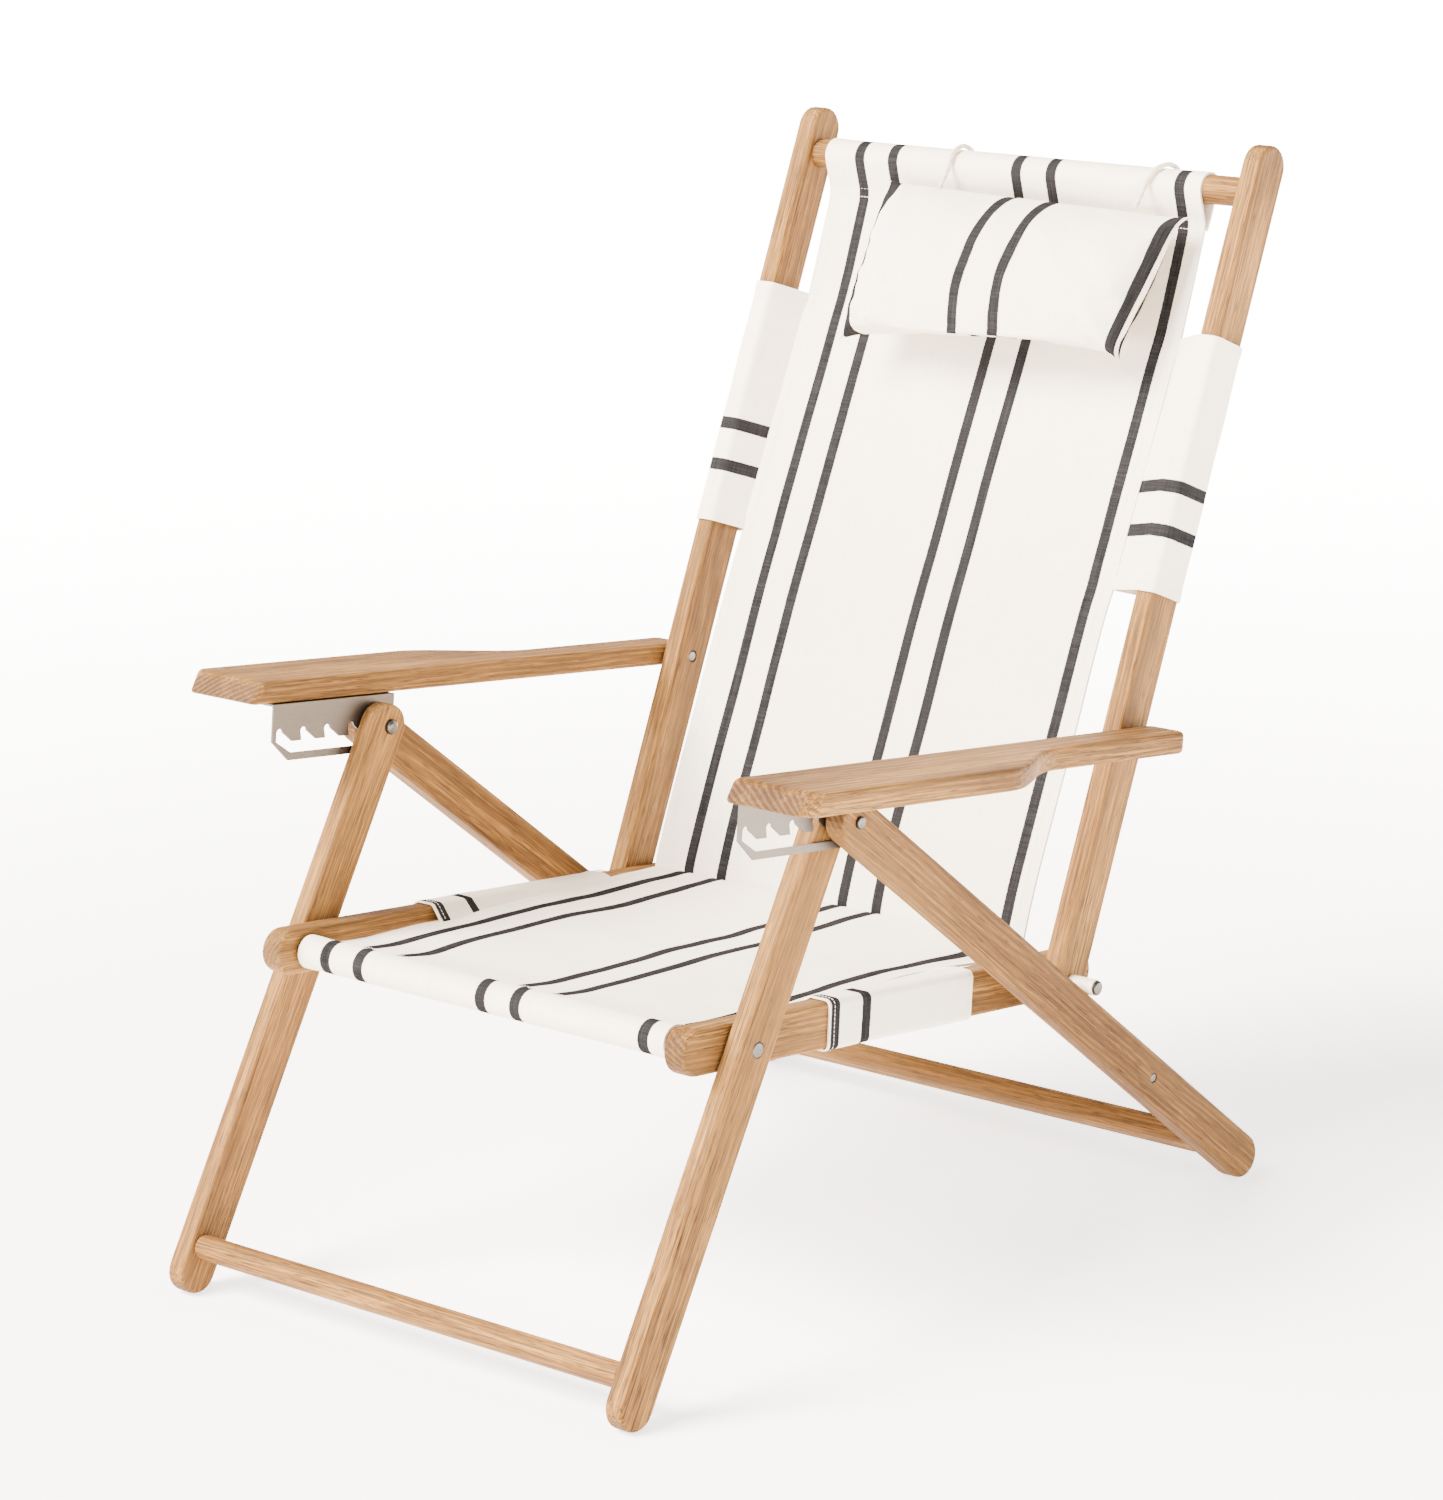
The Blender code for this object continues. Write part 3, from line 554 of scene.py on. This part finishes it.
def stitches(name, rows, look, pitch=0.0031, length=0.0023, radius=0.00030):
    """Rows of thread stitches; each row is (points, normals) along a line on the cloth's face."""
    points, faces = [], []
    sides = 6
    for line, up in rows:
        gaps = np.linalg.norm(np.diff(line, axis=0), axis=1)
        along = np.concatenate([[0], np.cumsum(gaps)])
        for at in np.arange(pitch, along[-1] - pitch, pitch):
            ends = [np.array([np.interp(at + d, along, line[:, k]) for k in range(3)])
                    for d in (-length / 2, length / 2)]
            lift = unit([np.interp(at, along, up[:, k]) for k in range(3)])
            run = unit(ends[1] - ends[0])
            side = np.cross(run, lift)
            first = len(points)
            for share, wide in ((0.0, 0.35), (0.14, 1.0), (0.86, 1.0), (1.0, 0.35)):
                middle = ends[0] + (ends[1] - ends[0]) * share + lift * radius * (0.55 * wide - 0.25)
                for k in range(sides):
                    t = 2 * math.pi * k / sides
                    points.append(middle + radius * wide * (math.cos(t) * side + math.sin(t) * lift * 0.8))
            for ring in range(3):
                for k in range(sides):
                    m = (k + 1) % sides
                    b = first + ring * sides
                    faces.append((b + k, b + m, b + sides + m, b + sides + k))
            faces.append(tuple(first + k for k in reversed(range(sides))))
            faces.append(tuple(first + 3 * sides + k for k in range(sides)))
    return mesh_piece(name, points, faces, look)


THREAD = thread("stitch_thread", (0.86, 0.77, 0.64))
UPRIGHT_SPAN = (0.303, 0.506)
STRIPES = (-0.164, -0.129, -0.001, 0.034, 0.161)
HEM = 0.0125
HEM_SEAM = 0.0022
SLING_HALF = 0.00065
SLEEVE_HALF = 0.00045


def hemmed(x, low, high, rise=0.0007):
    """How much a side hem lifts the cloth, 0 away from the two edges."""
    inner = np.minimum(x - low, high - x)
    return rise / (1 + np.exp((inner - HEM) / 0.0005))


# Sling ------------------------------------------------------------------------------
def back_sling():
    """From the seat crease up the back, round the top dowel and down to the pocket's seam."""
    low, high = -0.2005, 0.1812
    main = smooth_path([(0.0190, 0.0012), (0.0225, 0.0002), (0.040, -0.0010), (0.080, -0.0018),
                        (0.165, -0.0005), (0.250, 0.0), (0.330, 0.003), (0.400, 0.0055), (0.455, 0.008),
                        (0.520, 0.0099), (0.548, 0.009), (0.590, 0.0067)])
    round_dowel = arc((DOWEL, 0), 0.0126, -125, 130, 40)
    path = np.vstack([main, [(0.598, 0.0045), (0.606, -0.0020)], round_dowel,
                      [(0.6040, 0.0100), (0.5935, 0.0094)]])
    path, along = resample(path, 0.0035)
    x = np.concatenate([[low], np.linspace(low + 0.002, high - 0.002, 110), [high]])
    s, n = path[:, :1], path[:, 1:]
    calm = np.clip((0.585 - s) / 0.05, 0, 1) * np.clip((s - 0.019) / 0.03, 0, 1) * (along[:, None] < 0.58)
    wave = 0.0011 * ripple(x[None, :], s, (0.11, 0.16), 3.1)
    wave = wave + 0.0004 * ripple(x[None, :], s, (0.035, 0.06), 8.7)
    pull = 0
    for edge in (low, high):
        for at in UPRIGHT_SPAN:
            pull = pull + 0.0012 * near(x[None, :], edge, 0.035) * near(s, at, 0.012)
    grid = on_back(s + 0 * x, n + calm * (wave + pull), x + 0 * s)
    lift = hemmed(x, low, high)[None, :] + 0 * s
    seam = 0.0004 * near(s, 0.597, 0.004) * (along[:, None] < 0.59)
    uv = np.stack([x + 0 * s, along[:, None] + 0 * x], 2)
    half = SLING_HALF + 0.5 * lift
    piece = shell("sling_back_cloth", grid, half + seam, half, uv, canvas("canvas_back", STRIPES))
    face = grid + normals(grid) * half[..., None]
    up = normals(grid)
    rows = []
    for level in (0.5935, 0.6000):
        row = int(np.argmin(np.abs(path[:, 0] - level) + (along > 0.6)))
        rows.append((face[row], up[row]))
    last = int(np.argmin(np.abs(path[:, 0] - 0.592) + (along > 0.6)))
    for inner in (low + HEM - HEM_SEAM, high - HEM + HEM_SEAM):
        column = int(np.argmin(np.abs(x - inner)))
        rows.append((face[6:last, column], up[6:last, column]))
    thread_rows = stitches("sling_back_stitches", rows, THREAD)
    for made in (piece, thread_rows):
        tuple(on_back(0.022, 0))
        tuple(on_back(0.10, 0))
        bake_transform(made)
    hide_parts("sling_back")


def seat_sling():
    """From under the front dowel, round it and back along the seat to the crease."""
    low, high = -0.1925, 0.1812
    main = smooth_path([(-0.0035, 0.0031), (0.012, 0.0025), (0.040, 0.0022), (0.085, 0.005),
                        (0.140, 0.009), (0.180, 0.011), (0.240, 0.0125), (0.300, 0.016),
                        (0.340, 0.0183), (0.362, 0.0189), (0.3695, 0.0160)])
    path = np.vstack([[(-0.0015, 0.0006), (-0.0080, -0.0002)], arc((-0.0290, 0), 0.0121, 305, 68, 44), main])
    path, along = resample(path, 0.0033)
    x = np.concatenate([[low], np.linspace(low + 0.002, high - 0.002, 106), [high]])
    s, n = path[:, :1], path[:, 1:]
    past_dowel = 0.074
    calm = np.clip((s - 0.002) / 0.04, 0, 1) * np.clip((0.360 - s) / 0.04, 0, 1)
    calm = calm * (along[:, None] > past_dowel)
    wave = 0.0016 * ripple(x[None, :], s, (0.13, 0.075), 5.3)
    wave = wave + 0.0005 * ripple(x[None, :], s, (0.05, 0.035), 2.9)
    sag = -0.0015 * np.cos(np.pi * (x[None, :] - (low + high) / 2) / (high - low))
    droop = -0.0045 * near(x[None, :], high, 0.028) * near(s, 0.33, 0.05)
    grid = on_rail(s + 0 * x, n + calm * (wave + sag + droop), x + 0 * s)
    lift = hemmed(x, low, high, 0.0006)[None, :] + 0 * s
    uv = np.stack([x + 0 * s, along[:, None] + 0 * x], 2)
    half = SLING_HALF + 0.5 * lift
    piece = shell("sling_seat_cloth", grid, half, half, uv, canvas("canvas_seat", STRIPES))
    up = normals(grid)
    face = grid + up * half[..., None]
    rows = []
    start = int(np.argmin(np.abs(path[:, 0] - 0.004) + (along < past_dowel)))
    rows.append((face[start], up[start]))
    for inner in (low + HEM - HEM_SEAM, high - HEM + HEM_SEAM):
        column = int(np.argmin(np.abs(x - inner)))
        rows.append((face[start:-3, column], up[start:-3, column]))
    thread_rows = stitches("sling_seat_stitches", rows, THREAD)
    for made in (piece, thread_rows):
        tuple(on_rail(0.300, 0.018))
        tuple(on_rail(0.362, 0.018))
        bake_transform(made)
    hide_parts("sling_seat")


back_sling()
seat_sling()


# Sleeves ----------------------------------------------------------------------------
def tangent(start, centre, reach, sign):
    """The angle in degrees at which a line from start meets a circle."""
    away = np.asarray(start) - centre
    swing = math.acos(min(1, reach / np.linalg.norm(away)))
    return math.degrees(math.atan2(away[1], away[0]) - sign * swing) % 360


def sleeve_line(edge, level, inner, outer, gap, spread):
    """One sleeve's cross-section, from the sling's edge round a timber and back, as (x, height)."""
    ease = 0.003
    reach, flat = ease + gap, HALF - ease
    parts = []
    for sign in (-1, 1):
        start = np.array([edge, level + sign * spread])
        centre = np.array([inner + ease, sign * flat])
        meet = tangent(start, centre, reach, sign)
        face = 270 if sign < 0 else 90
        touch = centre + reach * np.array([math.cos(math.radians(meet)), math.sin(math.radians(meet))])
        lead = start + (touch - start) * np.linspace(0, 0.9, 8)[:, None]
        corner_in = arc(centre, reach, meet, face, 8)
        corner_out = arc((outer - ease, sign * flat), reach, face - (360 if sign < 0 else 0), 0, 9)
        parts.append(np.vstack([lead, corner_in, corner_out]))
    return np.vstack([parts[0], parts[1][::-1]])


def sleeve(name, node, side, span, edge, faces, place, level, body, stripes, seed):
    """Sewn loop of canvas from the sling's edge round a timber, hemmed at both ends."""
    rows = int((span[1] - span[0]) / 0.0028)
    lines = []
    for k in range(rows + 1):
        along = span[0] + (span[1] - span[0]) * k / rows
        line, at = resample(sleeve_line(edge, level(along), *faces, 0.0010, 0.0008), 0.0016)
        lines.append((along, line, at))
    count = min(len(line) for _, line, _ in lines)
    grid, uv = [], []
    for along, line, at in lines:
        even = np.linspace(0, at[-1], count)
        x = np.interp(even, at, line[:, 0])
        up = np.interp(even, at, line[:, 1])
        grid.append(place(np.full(count, along), up, side * x))
        uv.append(np.stack([even, np.full(count, along)], 1))
    grid, uv = np.array(grid), np.array(uv)
    n = normals(grid)
    outward = 1 if np.dot(n[rows // 2, count // 2], X * side) > 0 else -1
    slack = 0.5 + 0.5 * ripple(uv[..., 0], uv[..., 1], (0.03, 0.05), seed)
    free = np.clip(np.minimum(uv[..., 0], at[-1] - uv[..., 0]) / 0.02, 0, 1)
    grid = grid + n * outward * (0.0007 * slack * free)[..., None]
    if outward < 0:
        grid, uv = grid[:, ::-1], uv[:, ::-1]
    hem = 0.0085
    end = np.minimum(uv[..., 1] - span[0], span[1] - uv[..., 1])
    lift = 0.00045 / (1 + np.exp((end - hem) / 0.0004))
    look = canvas(f"canvas_{name}", along=stripes)
    piece = shell(name, grid, SLEEVE_HALF + lift, SLEEVE_HALF + 0 * lift, uv, look)
    up = normals(grid)
    face = grid + up * (SLEEVE_HALF + lift)[..., None]
    line_rows = []
    for inner in (span[0] + hem - 0.0018, span[1] - hem + 0.0018):
        row = int(np.argmin(np.abs(uv[:, 0, 1] - inner)))
        line_rows.append((face[row], up[row]))
    thread_rows = stitches(f"{name}_stitches", line_rows, THREAD)
    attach(piece, body)
    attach(thread_rows, body)
    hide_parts(node)


BACK_LEVEL = smooth_path([(0.250, 0.0), (0.330, 0.003), (0.400, 0.0055), (0.455, 0.008), (0.520, 0.0099)])
SEAT_LEVEL = smooth_path([(0.040, 0.0022), (0.085, 0.005), (0.140, 0.009), (0.180, 0.011), (0.240, 0.0125),
                          (0.320, 0.017)])
TUCK = 0.0030
UPRIGHT_X = (0.2170, 0.2343)
RAIL_X = (0.1960, 0.2152)


def back_level(s):
    return float(np.interp(s, BACK_LEVEL[:, 0], BACK_LEVEL[:, 1])) + TUCK


def seat_level(s):
    return float(np.interp(s, SEAT_LEVEL[:, 0], SEAT_LEVEL[:, 1])) - TUCK


sleeve("upright_sleeve_left_cloth", "upright_sleeve_left", 1, UPRIGHT_SPAN, 0.1790, UPRIGHT_X,
       on_back, back_level, "back", (0.386, 0.351), 4.1)
sleeve("upright_sleeve_right_cloth", "upright_sleeve_right", -1, (0.305, 0.508), 0.1985, UPRIGHT_X,
       on_back, back_level, "back", (0.387, 0.352), 6.2)
sleeve("rail_sleeve_left_cloth", "rail_sleeve_left", 1, (0.097, 0.262), 0.1720, RAIL_X,
       on_rail, seat_level, "seat", ((0.1040, 0.0100), (0.139, 0.0100)), 7.9)
sleeve("rail_sleeve_right_cloth", "rail_sleeve_right", -1, (0.105, 0.305), 0.1850, RAIL_X,
       on_rail, seat_level, "seat", ((0.1115, 0.0090), (0.1455, 0.0080)), 9.4)


# Pillow -----------------------------------------------------------------------------
PILLOW_TOP = ((-0.1290, 0.6060), (0.1850, 0.5998))
PILLOW_BASE = ((-0.1240, 0.4615), (0.1645, 0.4735))
PILLOW_STRIPES = (-0.0190, 0.0218, (-0.1365, 0.0125), (0.1415, 0.0120))
PUFF = 0.0375
HALF_LENGTH, HALF_HEIGHT = 0.1505, 0.085
MOST_BLOWN = 0.004


def pillow():
    """The stuffed cover: its top hangs close to the sling, and its belly bulges forward and down."""
    top, base = np.array(PILLOW_TOP), np.array(PILLOW_BASE)
    columns, rows = 116, 60
    u, v = np.meshgrid(np.linspace(-1, 1, columns + 1), np.linspace(-1, 1, rows + 1), indexing="ij")
    share = ((u + 1) / 2)[..., None]
    spot = (base[0] + (base[1] - base[0]) * share) * ((1 - v) / 2)[..., None] \
        + (top[0] + (top[1] - top[0]) * share) * ((1 + v) / 2)[..., None]
    flat_u, flat_v = 1 - u ** 8, 1 - np.abs(v) ** 9
    low = (1 - v) / 2
    x = spot[..., 0] - 0.0105 * u ** 3 * flat_v
    s = spot[..., 1] + flat_u * (0.0135 * low ** 3 - 0.0050 * (1 - low) ** 3)
    seam = -(0.0185 + 0.0185 * low) + 0.014 * flat_u * low ** 2
    round_u = 1 - np.abs(u) ** 5.5
    front = PUFF * (round_u * (1 - np.abs(v + 0.10 * (1 - v ** 2)) ** 2.2)) ** 0.52
    rear = np.minimum(0.6 * front, -seam - 0.0045)
    hang = 0.0085 * round_u * np.exp(-((v + 0.78) / 0.30) ** 2)
    rim_u, rim_v = 1 - np.abs(u), 1 - np.abs(v)
    points, keep, cloth_uv = [], {}, []
    for side, puff in ((-1, front), (1, rear)):
        ends = ripple(u * 0.010 + side, v * 0.075, (0.05, 0.012), 12.3 + side) * np.exp(-rim_u / 0.12)
        longs = ripple(u * 0.150, v * 0.010 + side, (0.015, 0.05), 4.7 - side) * np.exp(-rim_v / 0.25)
        folds = ripple(u * 0.150 + v * 0.055, v * 0.070 - u * 0.10, (0.030, 0.070), 21.7 + side)
        corner = np.exp(-((np.abs(u) - 0.84) / 0.20) ** 2 - ((v + 0.62) / 0.42) ** 2)
        height = puff + np.minimum(1, puff / 0.010) * (
            0.0020 * ends + 0.0017 * longs + (0.0010 + 0.0034 * corner) * folds)
        drop = hang if side < 0 else 0.3 * hang
        steps = np.sqrt(np.diff(x, axis=0) ** 2 + np.diff(height, axis=0) ** 2 + np.diff(s, axis=0) ** 2)
        length = np.vstack([np.zeros(rows + 1), np.cumsum(steps, axis=0)])
        total = length[-1]
        from_end = np.sign(u) * (HALF_LENGTH - np.minimum(length, total - length))
        blend = np.clip((np.abs(u) - 0.45) / 0.35, 0, 1)
        cloth_u = (length - total * 0.5) * (1 - blend) + from_end * blend
        for i in range(columns + 1):
            for j in range(rows + 1):
                rim = i in (0, columns) or j in (0, rows)
                if rim and side > 0:
                    keep[side, i, j] = keep[-1, i, j]
                    continue
                keep[side, i, j] = len(points)
                out = 0 if rim else height[i, j]
                points.append(on_back(s[i, j] - (0 if rim else drop[i, j]), seam[i, j] + side * out, x[i, j]))
                cloth_uv.append((cloth_u[i, j], HALF_HEIGHT * v[i, j]))
    faces = []
    for side in (-1, 1):
        for i in range(columns):
            for j in range(rows):
                quad = [keep[side, i + a, j + b] for a, b in ((0, 0), (1, 0), (1, 1), (0, 1))]
                faces.append(quad if side > 0 else quad[::-1])
    look = canvas("canvas_pillow", PILLOW_STRIPES)
    piece = mesh_piece("pillow_cover", np.array(points, float), faces, look, np.array(cloth_uv), crease=70)
    inflate(piece, MOST_BLOWN)
    return piece


def inflate(piece, cap):
    """Blows a closed cover up with cloth simulation, with a limit on how far each point may move."""
    rest = np.array([v.co for v in piece.data.vertices], float)
    cloth = piece.modifiers.new("cloth", "CLOTH")
    cloth.settings.quality = 6
    cloth.settings.mass = 0.15
    cloth.settings.use_pressure = True
    cloth.settings.uniform_pressure_force = 4.0
    cloth.settings.tension_stiffness = 22
    cloth.settings.compression_stiffness = 22
    cloth.settings.bending_stiffness = 0.35
    cloth.settings.effector_weights.gravity = 0
    cloth.collision_settings.use_collision = False
    scene = bpy.context.scene
    for step in range(1, 21):
        scene.frame_set(step)
    evaluated = piece.evaluated_get(bpy.context.evaluated_depsgraph_get())
    moved = np.array([v.co for v in evaluated.data.vertices], float)
    scene.frame_set(1)
    piece.modifiers.remove(cloth)
    shift = moved - rest
    far = np.linalg.norm(shift, axis=1, keepdims=True)
    shift *= np.minimum(1, cap / np.maximum(far, 1e-9))
    piece.data.vertices.foreach_set("co", (rest + shift).ravel())
    piece.data.update()


cushion = pillow()
smooth = cushion.modifiers.new("smooth", "SUBSURF")
smooth.levels = smooth.render_levels = 1
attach(cushion, "pillow")
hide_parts("pillow")


# Ropes ------------------------------------------------------------------------------
def twisted(name, path, radius, look, strands=3, turn=0.0075, sides=8):
    """Laid rope: strands that wind round a path."""
    path, along = resample(path, 0.0009)
    run = np.gradient(path, axis=0)
    run /= np.linalg.norm(run, axis=1, keepdims=True)
    side = np.cross(run, X)
    side /= np.linalg.norm(side, axis=1, keepdims=True)
    other = np.cross(run, side)
    points, faces = [], []
    thick = radius * 0.56
    for strand in range(strands):
        phase = 2 * math.pi * (strand / strands + along / turn / strands)
        middle = path + (radius - thick) * (np.cos(phase)[:, None] * side + np.sin(phase)[:, None] * other)
        first = len(points)
        for k in range(len(path)):
            for t in 2 * math.pi * np.arange(sides) / sides:
                points.append(middle[k] + thick * (math.cos(t) * side[k] + math.sin(t) * other[k]))
        for k in range(len(path) - 1):
            for m in range(sides):
                b, c = first + k * sides, (m + 1) % sides
                faces.append((b + m, b + c, b + sides + c, b + sides + m))
        faces.append(tuple(first + m for m in reversed(range(sides))))
        faces.append(tuple(first + (len(path) - 1) * sides + m for m in range(sides)))
    return mesh_piece(name, points, faces, look, crease=70)


ROPE = thread("cotton_rope", (0.78, 0.66, 0.48))
ROPE_RADIUS = 0.0021
ROPE_ROUND = 0.0162
for label, top_x, low_x in (("left", 0.141, 0.130), ("right", -0.066, -0.067)):
    bend = arc((DOWEL, 0), ROPE_ROUND, 128, -104, 40)
    flat = np.vstack([[(0.597, 0.0160)], bend, [(0.6065, -0.0190), (0.5990, -0.0205)]])
    flat = smooth_path(flat, 3)
    share = np.clip((np.arange(len(flat)) / (len(flat) - 1) - 0.55) / 0.45, 0, 1)
    path = on_back(flat[:, 0], flat[:, 1], top_x + (low_x - top_x) * share)
    rope = twisted(f"pillow_rope_{label}_strands", path, ROPE_RADIUS, ROPE)
    still, moving = on_back(0.612, -0.0165, top_x), on_back(0.603, -0.0235, low_x)
    tuple(still)
    tuple(moving)
    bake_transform(rope)
    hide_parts(f"pillow_rope_{label}")


# Screws -----------------------------------------------------------------------------
def screw_head(name, centre, side, radius, dome, body, rings=22, sides=96):
    """Domed head with a cross recess, facing out along X from a centre on its outer face's plane."""
    points = [[0, 0, 0]]
    steps = np.linspace(0, 1, rings + 1)[1:]
    for r in steps:
        for k in range(sides):
            t = 2 * math.pi * k / sides
            points.append([0, r * radius * math.cos(t), r * radius * math.sin(t)])
    points = np.array(points, float)
    y, z = points[:, 1], points[:, 2]
    r = np.hypot(y, z) / radius
    height = dome * (1 - r ** 2.4)
    reach, width = radius * 0.64, radius * 0.185
    arms = [np.clip((width * 1.15 - np.abs(over)) / (width * 0.3), 0, 1)
            * np.clip((reach - np.abs(run)) / (width * 0.5), 0, 1) for over, run in ((y, z), (z, y))]
    cross = np.maximum(*arms)
    height = height - radius * 0.30 * cross
    turn = math.radians(31)
    y, z = y * math.cos(turn) - z * math.sin(turn), y * math.sin(turn) + z * math.cos(turn)
    outer = np.stack([side * height, y, z], 1) + centre
    faces = [(0, 1 + k, 1 + (k + 1) % sides) for k in range(sides)]
    for ring in range(rings - 1):
        for k in range(sides):
            a, m = 1 + ring * sides, (k + 1) % sides
            faces.append((a + k, a + sides + k, a + sides + m, a + m))
    last = 1 + (rings - 1) * sides
    skirt = outer[last:] - side * X * 0.0022
    points = np.vstack([outer, skirt])
    for k in range(sides):
        m = (k + 1) % sides
        faces.append((last + k, last + sides + k, last + sides + m, last + m))
    faces.append(tuple(last + sides + k for k in range(sides)))
    piece = mesh_piece(name, points, faces, SCREW, crease=40)
    # Painted shade and painted reflection: faces in the cross recess get the near-black SHADE steel as
    # painted shade, and the rim and side of the head get it as a painted dark reflection
    piece.data.materials.append(SHADE)
    sunk = cross > 0.15
    rim = r > 0.86
    for face in piece.data.polygons:
        at = [k for k in face.vertices if k < len(sunk)]
        if not at or all(sunk[k] for k in at) or all(rim[k] for k in at):
            face.material_index = 1
    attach(piece, body)


for label, side in (("left", 1), ("right", -1)):
    rear_screw = np.mean(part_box(f"rear_leg_screw_{label}"), axis=0)
    heads = (("seat_pivot_screw", P1, 0.2340, 0.0058, 0.0010, "front_legs"),
             ("back_pivot_screw", P2, 0.2600, 0.0054, 0.0014, "back_pivot"),
             ("leg_pivot_screw", P4, 0.2582, 0.0046, 0.0011, "rear_legs"),
             ("rear_leg_screw", rear_screw * (0, 1, 1), 0.2556, 0.0037, 0.0006, "rear_legs"))
    for stem, centre, x, radius, dome, body in heads:
        place = np.array([side * x, centre[1], centre[2]])
        screw_head(f"{stem}_{label}_head", place, side, radius * 1.02, dome, body)
    inner = (("leg_pivot_nut", P4, 0.2150, 0.0059, 0.0024, "front_legs"),
             ("arm_pivot_screw", P3, 0.2181, 0.0047, 0.0010, f"arm_pivot_{label}"))
    for stem, centre, x, radius, dome, body in inner:
        place = np.array([side * x, centre[1], centre[2]])
        screw_head(f"{stem}_{label}_head", place, -side, radius, dome, body)


# Pin through the notched plate --------------------------------------------------------
for label, side in (("left", 1), ("right", -1)):
    sides = 40
    ends = ((0.2345, 0.0029), (0.2347, 0.0030), (0.2378, 0.0030), (0.2380, 0.0029))
    ring = [(math.cos(2 * math.pi * k / sides), math.sin(2 * math.pi * k / sides)) for k in range(sides)]
    points = [P4 + np.array([side * x, r * c, r * q]) for x, r in ends for c, q in ring]
    faces = [tuple((b + up) * sides + (k + on) % sides for up, on in ((0, 0), (0, 1), (1, 1), (1, 0)))
             for b in range(3) for k in range(sides)]
    faces += [tuple(reversed(range(sides))), tuple(3 * sides + k for k in range(sides))]
    pin = mesh_piece(f"leg_pivot_pin_{label}", points, faces, SCREW, crease=30)
    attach(pin, "front_legs")
